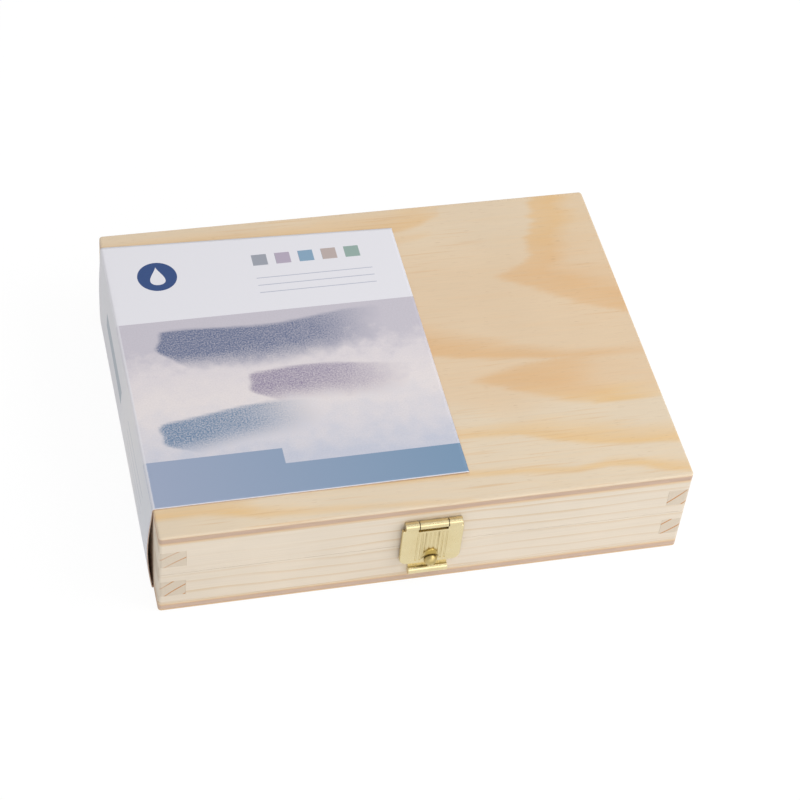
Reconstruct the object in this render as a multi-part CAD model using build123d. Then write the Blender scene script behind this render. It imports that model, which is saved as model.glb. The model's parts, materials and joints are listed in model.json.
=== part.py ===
from build123d import *
import math
import os

# Wooden box for watercolour tubes: a pine tray and a pine lid of the same depth, both with finger-jointed
# corners and a three-ply panel glued on. Two brass butt hinges join them behind, a brass hasp closes them
# in front, and a printed card wrap lies over the left part of the lid. Five tubes lie in the tray.
# Millimetres. X runs left to right, Y front to back, Z up. The origin is the middle of the underside.

os.makedirs("parts", exist_ok=True)

# Case
case_width = 180.0
case_depth = 140.0
tray_board_height = 14.95
lid_board_height = 14.95
front_board = 8.0
back_board = 8.0
left_board = 9.0
right_board = 7.4
outer_ply = 0.8
core_ply = 2.1
inner_ply = 1.1
parting_gap = 0.1
finger_height = 7.5
corner_radius = 1.2
edge_radius = 0.6

# Tray fittings
compartment_count = 5
divider_thickness = 2.5
divider_height = 13.0
groove_depth = 1.5
joiner_clearance = 0.05

# Paint tubes
tube_radius = 9.5
tube_wall = 0.4
tube_shoulder_length = 3.5
neck_radius = 4.5
neck_length = 7.0
mouth_radius = 2.0
crimp_length = 5.0
crimp_thickness = 1.6
crimp_radius = 0.35
cap_radius = 7.6
cap_front_radius = 6.9
cap_length = 17.0
cap_side_count = 8
cap_groove_radius = 0.35
seal_thickness = 1.0
finger_space = 16.0
tail_gap = 1.5
tube_side_clearance = 0.76
tube_floor_clearance = 0.3
paint_clearance = 0.02
cap_shoulder_gap = 0.4

# Butt hinges
hinge_length = 22.0
hinge_inset = 35.0
hinge_leaf_width = 6.8
hinge_leaf_thickness = 0.8
hinge_barrel_radius = 1.9
hinge_pin_radius = 0.8
hinge_knuckle_gap = 0.15
barrel_to_board = 0.15
pin_clearance = 0.05
screw_spacing = 13.0
screw_radius = 0.7
screw_head_radius = 1.5
screw_length = 7.0
screw_slot_width = 0.4
screw_slot_depth = 0.25
screw_clearance = 0.04

# Hasp and its keeper
latch_x = 0.5
hasp_width = 20.8
hasp_thickness = 0.8
hasp_flange_depth = 0.55
hasp_flange_width = 0.6
hasp_corner_radius = 2.8
hasp_front_round = 0.4
hasp_axis_rise = 11.65
hasp_shoulder_drop = 1.9
hasp_cutout_drop = 2.7
hasp_below_stud = 2.4
rib_count = 8
rib_pitch = 1.4
rib_groove_radius = 0.35
rib_groove_depth = 0.16
rib_margin = 1.6
knuckle_row = 19.2
centre_knuckle = 9.6
latch_knuckle_gap = 0.3
latch_barrel_radius = 1.5
latch_pin_radius = 0.55
latch_barrel_to_board = 0.1
leaf_thickness = 0.7
leaf_width = 16.0
leaf_foot_gap = 0.5
leaf_to_hasp = 0.25
notch_radius = 2.65
hood_half_width = 3.0
hood_height = 4.6
hood_depth = 1.1
hood_sheet = 0.45
stud_ball_radius = 2.2
stud_neck_radius = 1.2
stud_length = 5.0
stud_drop = 5.05
stud_to_leaf = 0.1
keeper_width = 13.4
keeper_top_gap = 0.9
lip_drop = 7.0
lip_radius = 1.6
lip_stand = 0.9
nail_shank_radius = 0.5
nail_head_radius = 1.05
nail_head_thickness = 0.35
nail_length = 5.5
nail_clearance = 0.04
leaf_nail_spacing = 10.0
leaf_nail_rise = 4.6
keeper_nail_spacing = 9.6
keeper_nail_rise = 2.6

# Card wrap
card = 0.35
wrap_width = 105.0
wrap_front_margin = 12.0
wrap_back_margin_left = 6.4
wrap_back_margin_right = 10.2
wrap_lid_gap = 0.05
wrap_side_gap = 0.05
wrap_foot_gap = 0.2
wrap_foot_height = 0.8
wrap_bulge = 1.65
wrap_fold_radius = 0.6

# Levels and faces that the pieces share
panel = outer_ply + core_ply + inner_ply
tray_top = panel + tray_board_height
lid_foot = tray_top + parting_gap
lid_ceiling = lid_foot + lid_board_height
case_top = lid_ceiling + panel
left_face = -case_width / 2
right_face = case_width / 2
front_face = -case_depth / 2
back_face = case_depth / 2
inner_left = left_face + left_board
inner_right = right_face - right_board
inner_front = front_face + front_board
inner_back = back_face - back_board
hinge_y = back_face + barrel_to_board + hinge_barrel_radius
hinge_z = tray_top + parting_gap / 2
latch_y = front_face - latch_barrel_to_board - latch_barrel_radius
latch_z = lid_foot + hasp_axis_rise
leaf_front = front_face - leaf_thickness
hasp_back = leaf_front - leaf_to_hasp
hasp_front = hasp_back - hasp_flange_depth - hasp_thickness
stud_z = tray_top - stud_drop
compartment_width = (inner_right - inner_left - (compartment_count - 1) * divider_thickness) / compartment_count
compartment_pitch = compartment_width + divider_thickness


def block(x0, x1, y0, y1, z0, z1):
    """A box between two opposite corners."""
    centre = Pos((x0 + x1) / 2, (y0 + y1) / 2, (z0 + z1) / 2)
    return centre * Box(abs(x1 - x0), abs(y1 - y0), abs(z1 - z0))


def rod_x(radius, x0, x1, y, z):
    """A round bar along X from x0 to x1."""
    return Pos((x0 + x1) / 2, y, z) * Rot(0, 90, 0) * Cylinder(radius, abs(x1 - x0))


def rod_y(radius, y0, y1, x, z):
    """A round bar along Y from y0 to y1."""
    return Pos(x, (y0 + y1) / 2, z) * Rot(90, 0, 0) * Cylinder(radius, abs(y1 - y0))


def rod_z(radius, z0, z1, x, y):
    """A round bar along Z from z0 to z1."""
    return Pos(x, y, (z0 + z1) / 2) * Cylinder(radius, abs(z1 - z0))


def save(name, shape):
    """Write one named piece, or one group of like pieces, to its own file."""
    shape.label = name
    export_step(shape, f"parts/{name}.step")


def sanded_envelope():
    """The closed case as one body with its corners and its outer edges sanded round."""
    body = block(left_face, right_face, front_face, back_face, 0, case_top)
    body = fillet(body.edges().filter_by(Axis.Z), corner_radius)
    rim = body.faces().sort_by(Axis.Z)[0].edges() + body.faces().sort_by(Axis.Z)[-1].edges()
    return fillet(rim, edge_radius)


envelope = sanded_envelope()


def ply(bottom, thickness):
    """One ply of a panel, as wide and deep as the case."""
    return envelope & block(left_face, right_face, front_face, back_face, bottom, bottom + thickness)


def cross_board(y0, y1, foot, height):
    """A front or back board, notched at both ends for the fingers of the side boards."""
    board = block(left_face, right_face, y0, y1, foot, foot + height)
    low = foot + (height - finger_height) / 2
    for x0, x1 in ((left_face, inner_left), (inner_right, right_face)):
        board -= block(x0, x1, y0, y1, low, low + finger_height)
    return envelope & board


def side_board(x0, x1, foot, height):
    """A side board between the front and back boards, with a finger through each of them."""
    low = foot + (height - finger_height) / 2
    board = block(x0, x1, inner_front, inner_back, foot, foot + height)
    board += block(x0, x1, front_face, back_face, low, low + finger_height)
    return envelope & board


def hinge_places():
    """The middle of each butt hinge along the back."""
    return {"left": left_face + hinge_inset, "right": right_face - hinge_inset}


def hinge_recess(x, z0, z1):
    """The room that one leaf takes in the edge of its board."""
    half = hinge_length / 2 + joiner_clearance
    front = back_face - hinge_leaf_width - joiner_clearance
    return block(x - half, x + half, front, back_face, z0, z1)


def screw_places(x):
    """Where the two screws of one leaf stand."""
    y = back_face - hinge_leaf_width / 2
    return [(x - screw_spacing / 2, y), (x + screw_spacing / 2, y)]


def screw(x, y, face, inward):
    """A slotted countersunk screw whose head is level with face; inward is -1 for down and 1 for up."""
    head = Cone(screw_head_radius, screw_radius, hinge_leaf_thickness)
    head = Pos(0, 0, -hinge_leaf_thickness / 2) * Rot(180, 0, 0) * head
    shank = rod_z(screw_radius, -screw_length, -hinge_leaf_thickness, 0, 0)
    point = Pos(0, 0, -screw_length - screw_radius) * Cone(screw_radius * 0.2, screw_radius, 2 * screw_radius)
    slot = block(-screw_head_radius, screw_head_radius, -screw_slot_width / 2, screw_slot_width / 2,
                 -screw_slot_depth, 0)
    body = head + shank + point - slot
    turn = Rot(0, 0, 35) if inward < 0 else Rot(180, 0, 0)
    return Pos(x, y, face) * turn * body


def screw_hole(x, y, face, inward):
    """The countersunk hole that the screw sits in, wider by the screw clearance."""
    end = face + inward * (screw_length + 2 * screw_radius + screw_clearance)
    return rod_z(screw_radius + screw_clearance, face, end, x, y)


def countersink(x, y, face, inward):
    """The cone that the screw's head takes out of the leaf."""
    cone = Cone(screw_head_radius + screw_clearance, screw_radius + screw_clearance, hinge_leaf_thickness)
    cone = Pos(0, 0, -hinge_leaf_thickness / 2) * Rot(180, 0, 0) * cone
    turn = Rot(0, 0, 0) if inward < 0 else Rot(180, 0, 0)
    return Pos(x, y, face) * turn * cone


def hinge_leaf(x, for_lid):
    """One leaf with its rolled knuckles: the lid's leaf has the middle knuckle, the tray's has the outer two."""
    inward = 1 if for_lid else -1
    face = lid_foot if for_lid else tray_top
    z0, z1 = sorted((face, face + inward * hinge_leaf_thickness))
    half = hinge_length / 2
    third = hinge_length / 3
    leaf = block(x - half, x + half, back_face - hinge_leaf_width, back_face, z0, z1)
    middle = (x - third / 2 + hinge_knuckle_gap / 2, x + third / 2 - hinge_knuckle_gap / 2)
    outer = [(x - half, x - third / 2 - hinge_knuckle_gap / 2), (x + third / 2 + hinge_knuckle_gap / 2, x + half)]
    for x0, x1 in ([middle] if for_lid else outer):
        leaf += block(x0, x1, back_face, hinge_y, z0, z1)
        leaf += rod_x(hinge_barrel_radius, x0, x1, hinge_y, hinge_z)
    leaf -= rod_x(hinge_pin_radius + pin_clearance, x - hinge_length, x + hinge_length, hinge_y, hinge_z)
    for sx, sy in screw_places(x):
        leaf -= countersink(sx, sy, face, inward)
    return leaf


def nail(x, z, face):
    """A flat-headed brass nail driven in along +Y, its head level with face."""
    shank = rod_y(nail_shank_radius, face + nail_head_thickness, face + nail_length, x, z)
    return rod_y(nail_head_radius, face, face + nail_head_thickness, x, z) + shank


def nail_hole(x, z, face):
    """The hole for the nail's shank and the seat for its head."""
    head = rod_y(nail_head_radius + nail_clearance, face - 1, face + nail_head_thickness, x, z)
    end = face + nail_length + nail_clearance
    return head + rod_y(nail_shank_radius + nail_clearance, face, end, x, z)


leaf_nails = [(latch_x + side * leaf_nail_spacing / 2, lid_foot + leaf_nail_rise) for side in (-1, 1)]
keeper_nails = [(latch_x + side * keeper_nail_spacing / 2, stud_z + keeper_nail_rise) for side in (-1, 1)]


def divider_x(index):
    """The left face of a divider, counted from the left."""
    return inner_left + compartment_width * (index + 1) + divider_thickness * index


def dividers():
    """Thin cross dividers, their ends let into the front and back boards."""
    for index in range(compartment_count - 1):
        x0 = divider_x(index)
        y0 = inner_front - groove_depth + joiner_clearance
        y1 = inner_back + groove_depth - joiner_clearance
        yield block(x0, x0 + divider_thickness, y0, y1, panel, panel + divider_height)


def divider_grooves(y0, y1):
    """The grooves for the dividers in a front or back board."""
    for index in range(compartment_count - 1):
        x0 = divider_x(index)
        top = panel + divider_height + joiner_clearance
        yield block(x0 - joiner_clearance, x0 + divider_thickness + joiner_clearance, y0, y1, panel, top)


def make_tray():
    """The lower half: panel, four boards and the dividers."""
    save("tray_outer_ply", ply(0, outer_ply))
    save("tray_core_ply", ply(outer_ply, core_ply))
    save("tray_inner_ply", ply(outer_ply + core_ply, inner_ply))
    front = cross_board(front_face, inner_front, panel, tray_board_height)
    back = cross_board(inner_back, back_face, panel, tray_board_height)
    for groove in divider_grooves(inner_front - groove_depth, inner_front):
        front -= groove
    for groove in divider_grooves(inner_back, inner_back + groove_depth):
        back -= groove
    for x, z in keeper_nails:
        front -= nail_hole(x, z, leaf_front)
    front -= rod_y(stud_neck_radius + nail_clearance, front_face - 1, front_face + stud_length + nail_clearance,
                   latch_x, stud_z)
    for x in hinge_places().values():
        back -= hinge_recess(x, tray_top - hinge_leaf_thickness, tray_top)
        for sx, sy in screw_places(x):
            back -= screw_hole(sx, sy, tray_top, -1)
    save("tray_front_board", front)
    save("tray_back_board", back)
    save("tray_left_board", side_board(left_face, inner_left, panel, tray_board_height))
    save("tray_right_board", side_board(inner_right, right_face, panel, tray_board_height))
    for number, divider in enumerate(dividers(), start=1):
        save(f"divider_{number}", divider)


def make_lid():
    """The upper half: four boards and the panel."""
    front = cross_board(front_face, inner_front, lid_foot, lid_board_height)
    back = cross_board(inner_back, back_face, lid_foot, lid_board_height)
    for x, z in leaf_nails:
        front -= nail_hole(x, z, leaf_front)
    for x in hinge_places().values():
        back -= hinge_recess(x, lid_foot, lid_foot + hinge_leaf_thickness)
        for sx, sy in screw_places(x):
            back -= screw_hole(sx, sy, lid_foot, 1)
    save("lid_front_board", front)
    save("lid_back_board", back)
    save("lid_left_board", side_board(left_face, inner_left, lid_foot, lid_board_height))
    save("lid_right_board", side_board(inner_right, right_face, lid_foot, lid_board_height))
    save("lid_inner_ply", ply(lid_ceiling, inner_ply))
    save("lid_core_ply", ply(lid_ceiling + inner_ply, core_ply))
    save("lid_outer_ply", ply(lid_ceiling + inner_ply + core_ply, outer_ply))


def make_hinges():
    """Both butt hinges with their pins and screws."""
    tray_screws = []
    lid_screws = []
    for side, x in hinge_places().items():
        save(f"{side}_hinge_tray_leaf", hinge_leaf(x, False))
        save(f"{side}_hinge_lid_leaf", hinge_leaf(x, True))
        half = hinge_length / 2
        pin = rod_x(hinge_pin_radius, x - half, x + half, hinge_y, hinge_z)
        save(f"{side}_hinge_pin", pin)
        tray_screws += [screw(sx, sy, tray_top, -1) for sx, sy in screw_places(x)]
        lid_screws += [screw(sx, sy, lid_foot, 1) for sx, sy in screw_places(x)]
    save("tray_hinge_screws", Compound(children=tray_screws))
    save("lid_hinge_screws", Compound(children=lid_screws))


def make_hasp():
    """The swinging hasp: a shallow pressed pan with ribs, two knuckles, and a notch under a pressed hood."""
    x0 = latch_x - hasp_width / 2
    x1 = latch_x + hasp_width / 2
    z0 = stud_z - hasp_below_stud
    shoulder = latch_z - hasp_shoulder_drop
    pan = block(x0, x1, hasp_back, hasp_front, z0, shoulder)
    foot_corners = pan.edges().filter_by(Axis.Y).group_by(Axis.Z)[0]
    pan = fillet(foot_corners, hasp_corner_radius)
    pan = fillet(pan.faces().sort_by(Axis.Y)[0].edges(), hasp_front_round)
    hollow = block(x0 + hasp_flange_width, x1 - hasp_flange_width, hasp_back, hasp_back - hasp_flange_depth,
                   z0 + hasp_flange_width, shoulder)
    inner_foot = hollow.edges().filter_by(Axis.Y).group_by(Axis.Z)[0]
    pan -= fillet(inner_foot, hasp_corner_radius - hasp_flange_width)
    plate_back = hasp_front + hasp_thickness
    for side in (-1, 1):
        outer = latch_x + side * knuckle_row / 2
        inner = latch_x + side * (centre_knuckle / 2 + latch_knuckle_gap)
        pan += block(outer, inner, plate_back, hasp_front, shoulder - hasp_front_round, latch_z)
        pan += rod_x(latch_barrel_radius, outer, inner, latch_y, latch_z)
    cut_half = centre_knuckle / 2 + latch_knuckle_gap
    pan -= block(latch_x - cut_half, latch_x + cut_half, hasp_back, hasp_front, latch_z - hasp_cutout_drop, latch_z)
    pan -= rod_x(latch_pin_radius + pin_clearance, x0, x1, latch_y, latch_z)
    rib_foot = z0 + rib_margin
    rib_head = latch_z - hasp_cutout_drop - rib_margin / 2
    groove_y = hasp_front - rib_groove_radius + rib_groove_depth
    for index in range(rib_count):
        x = latch_x + (index - (rib_count - 1) / 2) * rib_pitch
        pan -= rod_z(rib_groove_radius, rib_foot, rib_head, x, groove_y)
    hood = scale(Sphere(1), by=(hood_half_width, hood_depth, hood_height))
    room = scale(Sphere(1), by=(hood_half_width - hood_sheet, hood_depth - hood_sheet, hood_height - hood_sheet))
    hood_place = Pos(latch_x, hasp_front, stud_z)
    front_half = block(x0, x1, hasp_front + hasp_thickness / 2, hasp_front - 2 * hood_depth,
                       stud_z, stud_z + 2 * hood_height)
    pan += (hood_place * hood) & front_half
    pan -= hood_place * room & block(x0, x1, hasp_back, hasp_front - hood_depth, stud_z, latch_z)
    pan -= rod_y(notch_radius, hasp_front - 2 * hood_depth, hasp_back, latch_x, stud_z)
    pan -= block(latch_x - notch_radius, latch_x + notch_radius, hasp_front - 2 * hood_depth, hasp_back,
                 z0 - 1, stud_z)
    save("hasp", pan)


def make_latch_fixings():
    """What carries the hasp on the lid and catches it on the tray."""
    half = leaf_width / 2
    leaf_head = latch_z - latch_barrel_radius - leaf_to_hasp
    leaf = block(latch_x - half, latch_x + half, front_face, leaf_front, lid_foot + leaf_foot_gap, leaf_head)
    knuckle = (latch_x - centre_knuckle / 2, latch_x + centre_knuckle / 2)
    leaf += block(*knuckle, front_face, leaf_front, leaf_head, latch_z)
    leaf += rod_x(latch_barrel_radius, *knuckle, latch_y, latch_z)
    leaf -= rod_x(latch_pin_radius + pin_clearance, *knuckle, latch_y, latch_z)
    for x, z in leaf_nails:
        leaf -= nail_hole(x, z, leaf_front)
    save("hasp_leaf", leaf)
    pin = rod_x(latch_pin_radius, latch_x - knuckle_row / 2, latch_x + knuckle_row / 2, latch_y, latch_z)
    save("hasp_pin", pin)
    save("hasp_leaf_nails", Compound(children=[nail(x, z, leaf_front) for x, z in leaf_nails]))
    half = keeper_width / 2
    lip_z = stud_z - lip_drop
    keeper = block(latch_x - half, latch_x + half, front_face, leaf_front, lip_z, tray_top - keeper_top_gap)
    lip = rod_x(lip_radius, latch_x - half, latch_x + half, front_face - lip_stand, lip_z)
    reach = front_face - 2 * (lip_stand + lip_radius)
    keeper += lip & block(latch_x - half, latch_x + half, front_face, reach, lip_z - 2 * lip_radius, stud_z)
    for x, z in keeper_nails:
        keeper -= nail_hole(x, z, leaf_front)
    keeper -= rod_y(stud_neck_radius + nail_clearance, leaf_front - 1, front_face + 1, latch_x, stud_z)
    save("keeper_plate", keeper)
    save("keeper_nails", Compound(children=[nail(x, z, leaf_front) for x, z in keeper_nails]))
    ball_y = leaf_front - stud_to_leaf - stud_ball_radius
    stud = Pos(latch_x, ball_y, stud_z) * Sphere(stud_ball_radius)
    stud += rod_y(stud_neck_radius, ball_y, front_face + stud_length, latch_x, stud_z)
    save("catch_stud", stud)


def make_wrap():
    """The card: a flat panel on the lid, folded at the left edge into a spine that bulges over the side."""
    top = case_top + wrap_lid_gap
    inner_x = left_face - wrap_side_gap
    fold_x = inner_x + wrap_fold_radius
    fold_z = top - wrap_fold_radius
    foot_x = left_face - wrap_foot_gap
    middle_z = (fold_z + wrap_foot_height) / 2
    middle_x = (inner_x + foot_x) / 2 - wrap_bulge
    right_x = left_face + wrap_width
    turn = math.sqrt(0.5)
    inner_bend = (fold_x - wrap_fold_radius * turn, fold_z + wrap_fold_radius * turn)
    outer_radius = wrap_fold_radius + card
    outer_bend = (fold_x - outer_radius * turn, fold_z + outer_radius * turn)
    edges = [
        Line((right_x, top), (fold_x, top)),
        ThreePointArc((fold_x, top), inner_bend, (inner_x, fold_z)),
        ThreePointArc((inner_x, fold_z), (middle_x, middle_z), (foot_x, wrap_foot_height)),
        Line((foot_x, wrap_foot_height), (foot_x - card, wrap_foot_height)),
        ThreePointArc((foot_x - card, wrap_foot_height), (middle_x - card, middle_z), (inner_x - card, fold_z)),
        ThreePointArc((inner_x - card, fold_z), outer_bend, (fold_x, top + card)),
        Line((fold_x, top + card), (right_x, top + card)),
        Line((right_x, top + card), (right_x, top)),
    ]
    section = make_face(Wire(edges))
    front = front_face + wrap_front_margin
    back_left = back_face - wrap_back_margin_left
    back_right = back_face - wrap_back_margin_right
    strip = extrude(Plane.XZ * section, amount=case_depth, both=True)
    reach = left_face - wrap_width
    slope = (back_right - back_left) / (right_x - left_face)
    outline = Polygon((reach, front), (right_x + 1, front), (right_x + 1, back_right + slope),
                      (left_face, back_left), (reach, back_left), align=None)
    cutter = extrude(outline, amount=2 * case_top)
    save("card_wrap", strip & Pos(0, 0, -case_top / 2) * cutter)


def tube_section(y, half_width, half_height):
    """An elliptical cross-section of the tube that lies on the tray's floor."""
    centre_z = panel + tube_floor_clearance + tube_wall + half_height
    flat = Plane(origin=(0, y, centre_z), x_dir=(1, 0, 0), z_dir=(0, 1, 0))
    return flat * Ellipse(half_width, half_height)


def tube_wedge(front, back, inset):
    """The tube's body from its round shoulder to its flat tail; inset makes the room inside the wall."""
    round_half = tube_radius - inset
    tail_width = compartment_width / 2 - tube_side_clearance - inset
    tail_height = crimp_thickness / 2 - inset / 2
    share = (0.0, 0.35, 0.7, 1.0)
    drop = -tube_wall + inset
    sections = []
    for part in share:
        ease = part * part * (3 - 2 * part)
        half_width = round_half + (tail_width - round_half) * ease
        half_height = round_half + (tail_height - round_half) * part
        section = tube_section(front + (back - front) * part, half_width, half_height)
        sections.append(Pos(0, 0, drop) * section)
    return loft(sections, ruled=False)


def make_tubes():
    """Five aluminium tubes of paint, each with its screw cap and the soft seal inside the cap."""
    cap_front = inner_front + finger_space
    cap_back = cap_front + cap_length
    shoulder_front = cap_back + cap_shoulder_gap
    shoulder_back = shoulder_front + tube_shoulder_length
    tail = inner_back - tail_gap
    crimp = tail - crimp_length
    axis_z = panel + tube_floor_clearance + tube_radius
    skin = tube_wedge(shoulder_back, crimp, 0)
    cone = Pos(0, (shoulder_front + shoulder_back) / 2, axis_z) * Rot(90, 0, 0)
    skin += cone * Cone(tube_radius, neck_radius + tube_wall, tube_shoulder_length)
    neck_front = shoulder_front - neck_length
    skin += rod_y(neck_radius, neck_front, shoulder_front, 0, axis_z)
    tail_half = compartment_width / 2 - tube_side_clearance
    foot = panel + tube_floor_clearance
    fold = block(-tail_half, tail_half, crimp, tail, foot, foot + crimp_thickness)
    skin += fillet(fold.edges().filter_by(Axis.X), crimp_radius)
    filling = tube_wedge(shoulder_back, crimp - tube_wall, tube_wall)
    filling += rod_y(mouth_radius, neck_front + tube_wall, shoulder_back, 0, axis_z)
    room = tube_wedge(shoulder_back, crimp - tube_wall + paint_clearance, tube_wall - paint_clearance)
    room += rod_y(mouth_radius + paint_clearance, neck_front - tube_wall, shoulder_back + tube_wall, 0, axis_z)
    skin -= room
    cap = Pos(0, cap_back, axis_z) * Rot(90, 0, 0) * extrude_cap()
    bore_front = neck_front - seal_thickness - pin_clearance
    cap -= rod_y(neck_radius + pin_clearance, bore_front, cap_back, 0, axis_z)
    seal = rod_y(neck_radius, bore_front + pin_clearance / 2, neck_front - pin_clearance / 2, 0, axis_z)
    for index in range(compartment_count):
        x = inner_left + compartment_width / 2 + index * compartment_pitch
        number = index + 1
        save(f"tube_{number}", Pos(x, 0, 0) * skin)
        save(f"tube_{number}_paint", Pos(x, 0, 0) * filling)
        save(f"tube_{number}_cap", Pos(x, 0, 0) * cap)
        save(f"tube_{number}_seal", Pos(x, 0, 0) * seal)


def extrude_cap():
    """A tapered eight-sided screw cap along +Z, with a grip groove down the middle of each side."""
    foot = RegularPolygon(cap_radius, cap_side_count)
    head = Pos(0, 0, cap_length) * RegularPolygon(cap_front_radius, cap_side_count)
    cap = loft([foot, head], ruled=True)
    across = math.cos(math.pi / cap_side_count)
    lean = math.degrees(math.atan((cap_radius - cap_front_radius) * across / cap_length))
    for index in range(cap_side_count):
        turn = Rot(0, 0, (index + 0.5) * 360 / cap_side_count)
        groove = Pos(cap_radius * across, 0, 0) * Rot(0, -lean, 0) * Cylinder(cap_groove_radius, 3 * cap_length)
        cap -= turn * groove
    return cap


make_tray()
make_lid()
make_hinges()
make_hasp()
make_latch_fixings()
make_wrap()
make_tubes()
print("case", case_width, case_depth, round(case_top, 3))
print("hinge axis", hinge_y, hinge_z, "latch axis", latch_y, round(latch_z, 3))
print("compartment", round(compartment_width, 3), "tube top", panel + tube_floor_clearance + 2 * tube_radius)
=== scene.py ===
import json
import math

import bmesh
import bpy
import numpy as np
from bpy.props import FloatProperty, FloatVectorProperty, PointerProperty
from bpy.types import Operator, Panel, PropertyGroup
from mathutils import Matrix, Vector

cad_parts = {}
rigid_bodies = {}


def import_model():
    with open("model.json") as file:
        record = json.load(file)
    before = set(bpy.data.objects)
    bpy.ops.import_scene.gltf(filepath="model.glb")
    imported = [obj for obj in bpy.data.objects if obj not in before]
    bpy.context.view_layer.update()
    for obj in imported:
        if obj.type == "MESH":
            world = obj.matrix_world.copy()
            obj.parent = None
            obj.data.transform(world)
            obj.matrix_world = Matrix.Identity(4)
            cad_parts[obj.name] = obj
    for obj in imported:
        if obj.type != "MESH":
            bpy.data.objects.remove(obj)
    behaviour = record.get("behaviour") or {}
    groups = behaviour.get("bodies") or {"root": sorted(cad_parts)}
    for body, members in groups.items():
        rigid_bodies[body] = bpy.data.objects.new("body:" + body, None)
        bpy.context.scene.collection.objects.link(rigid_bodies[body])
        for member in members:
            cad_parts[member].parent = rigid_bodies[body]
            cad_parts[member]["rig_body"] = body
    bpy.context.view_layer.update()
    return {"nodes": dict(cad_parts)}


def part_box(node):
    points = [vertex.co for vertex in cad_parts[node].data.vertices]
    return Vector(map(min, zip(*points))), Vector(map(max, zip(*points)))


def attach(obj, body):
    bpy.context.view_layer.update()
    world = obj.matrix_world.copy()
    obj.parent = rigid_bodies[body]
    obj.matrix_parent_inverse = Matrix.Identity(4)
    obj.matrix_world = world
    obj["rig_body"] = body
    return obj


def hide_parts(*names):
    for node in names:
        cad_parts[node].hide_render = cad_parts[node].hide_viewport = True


bl_info = {
    "name": "Watercolour Tube Box",
    "version": (1, 0, 0),
    "blender": (4, 5, 0),
    "location": "View3D > Sidebar > Tube Box",
    "description": "Dresses a wooden box for watercolour tubes in pine, brass, card and lacquered tubes",
    "category": "Object",
}

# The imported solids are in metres; the sizes below are in millimetres and meet them through MM.
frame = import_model()
MM = 0.001


def linear(code):
    """An sRGB hex colour as linear red, green, blue and a full alpha."""
    parts = np.array([int(code[i:i + 2], 16) for i in (1, 3, 5)]) / 255
    parts = np.where(parts <= 0.04045, parts / 12.92, ((parts + 0.055) / 1.055) ** 2.4)
    return (*(float(part) for part in parts), 1.0)


def node_box(node):
    """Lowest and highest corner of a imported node, in millimetres."""
    low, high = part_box(node)
    return np.array(low) / MM, np.array(high) / MM


# ---------------- settings

def colour(name, description, code):
    """A colour setting whose default is an sRGB hex value."""
    return FloatVectorProperty(name=name, description=description, subtype="COLOR", size=4,
                               min=0.0, max=1.0, default=linear(code))


def length(name, description, default, low, high):
    """A length setting in metres."""
    return FloatProperty(name=name, description=description, unit="LENGTH", subtype="DISTANCE",
                         default=default, min=low, max=high, precision=5)


def watts(name, description, default):
    """A setting for the power of a lamp."""
    return FloatProperty(name=name, description=description, unit="POWER",
                         default=default, min=0.0, max=100.0)


class WoodSettings(PropertyGroup):
    """Sizes and colours of the pine boards and of the three-ply panels."""
    early: colour("Earlywood", "Pale part of each growth ring on the boards", "#E5D8C6")
    late: colour("Latewood", "Thin darker line at the end of each growth ring", "#DCC6A8")
    end_grain: colour("End grain", "Cut ends of the fibres on the fingers", "#D8CAB7")
    resin_line: colour("Resin line", "Dark latewood line in the end grain", "#C4894C")
    veneer_pale: colour("Veneer pale", "Cream part of the panel veneer", "#E3D1B7")
    veneer_peach: colour("Veneer peach", "Middle tone of the broad rings", "#E3CAAA")
    veneer_warm: colour("Veneer warm", "Latewood bands in the peach wood", "#E0B98B")
    veneer_gold: colour("Veneer gold", "Latewood bands in the cream wood", "#E5C28F")
    lid_core: colour("Lid core", "Cut edge of the lid panel's middle ply", "#C9AE9B")
    tray_core: colour("Bottom core", "Cut edge of the bottom panel's middle ply", "#CEB5A4")
    glue: colour("Glue line", "Edge of the middle ply where the glue has soaked in", "#CFB096")
    ring_width: length("Ring width", "Width of one growth ring on the front board", 0.0046, 0.001, 0.02)
    edge_break: length("Edge break", "Width of the broken edge round each board", 0.00011, 0.0, 0.001)


class BrassSettings(PropertyGroup):
    """Colours and edge size of the brass fittings."""
    brass: colour("Brass", "Rolled brass of the hasp and the hinges", "#E1D2A6")
    # Painted shade: the darker tone that is painted over the hasp's pressed hood.
    hood_shade_tone: colour("Stretched brass", "Darker brass of the pressed hood", "#B59A50")
    turned: colour("Turned brass", "Ball-headed stud", "#C6B27C")
    steel: colour("Steel", "Drawn wire of the pins", "#B9B6B0")
    edge_break: length("Edge break", "Width of the broken edge on the sheet", 0.00008, 0.0, 0.0005)


class CardSettings(PropertyGroup):
    """Colours of the printed card wrap."""
    white: colour("Card white", "Unprinted coated card", "#E8E7ED")
    ink: colour("Ink blue", "Disc on the white band", "#2C4A80")
    band_left: colour("Band left", "Left end of the blue band", "#9CA8C1")
    band_right: colour("Band right", "Right end of the blue band", "#7895B2")
    thickness: length("Card thickness", "Thickness of the card", 0.00035, 0.0001, 0.001)


class TubeSettings(PropertyGroup):
    """Colours of the paint tubes and their caps."""
    lacquer: colour("Lacquer", "White lacquer on the tube", "#F1F0EC")
    metal: colour("Aluminium", "Bare aluminium of the neck and the folded tail", "#CFCFD0")
    cap: colour("Cap", "Moulded screw cap", "#26262A")
    paint_1: colour("Paint 1", "Slate grey paint", "#9EA2AD")
    paint_2: colour("Paint 2", "Mauve grey paint", "#B5AABC")
    paint_3: colour("Paint 3", "Grey blue paint", "#87A6BF")
    paint_4: colour("Paint 4", "Rose brown paint", "#BCADA9")
    paint_5: colour("Paint 5", "Grey green paint", "#95ADA6")


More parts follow.
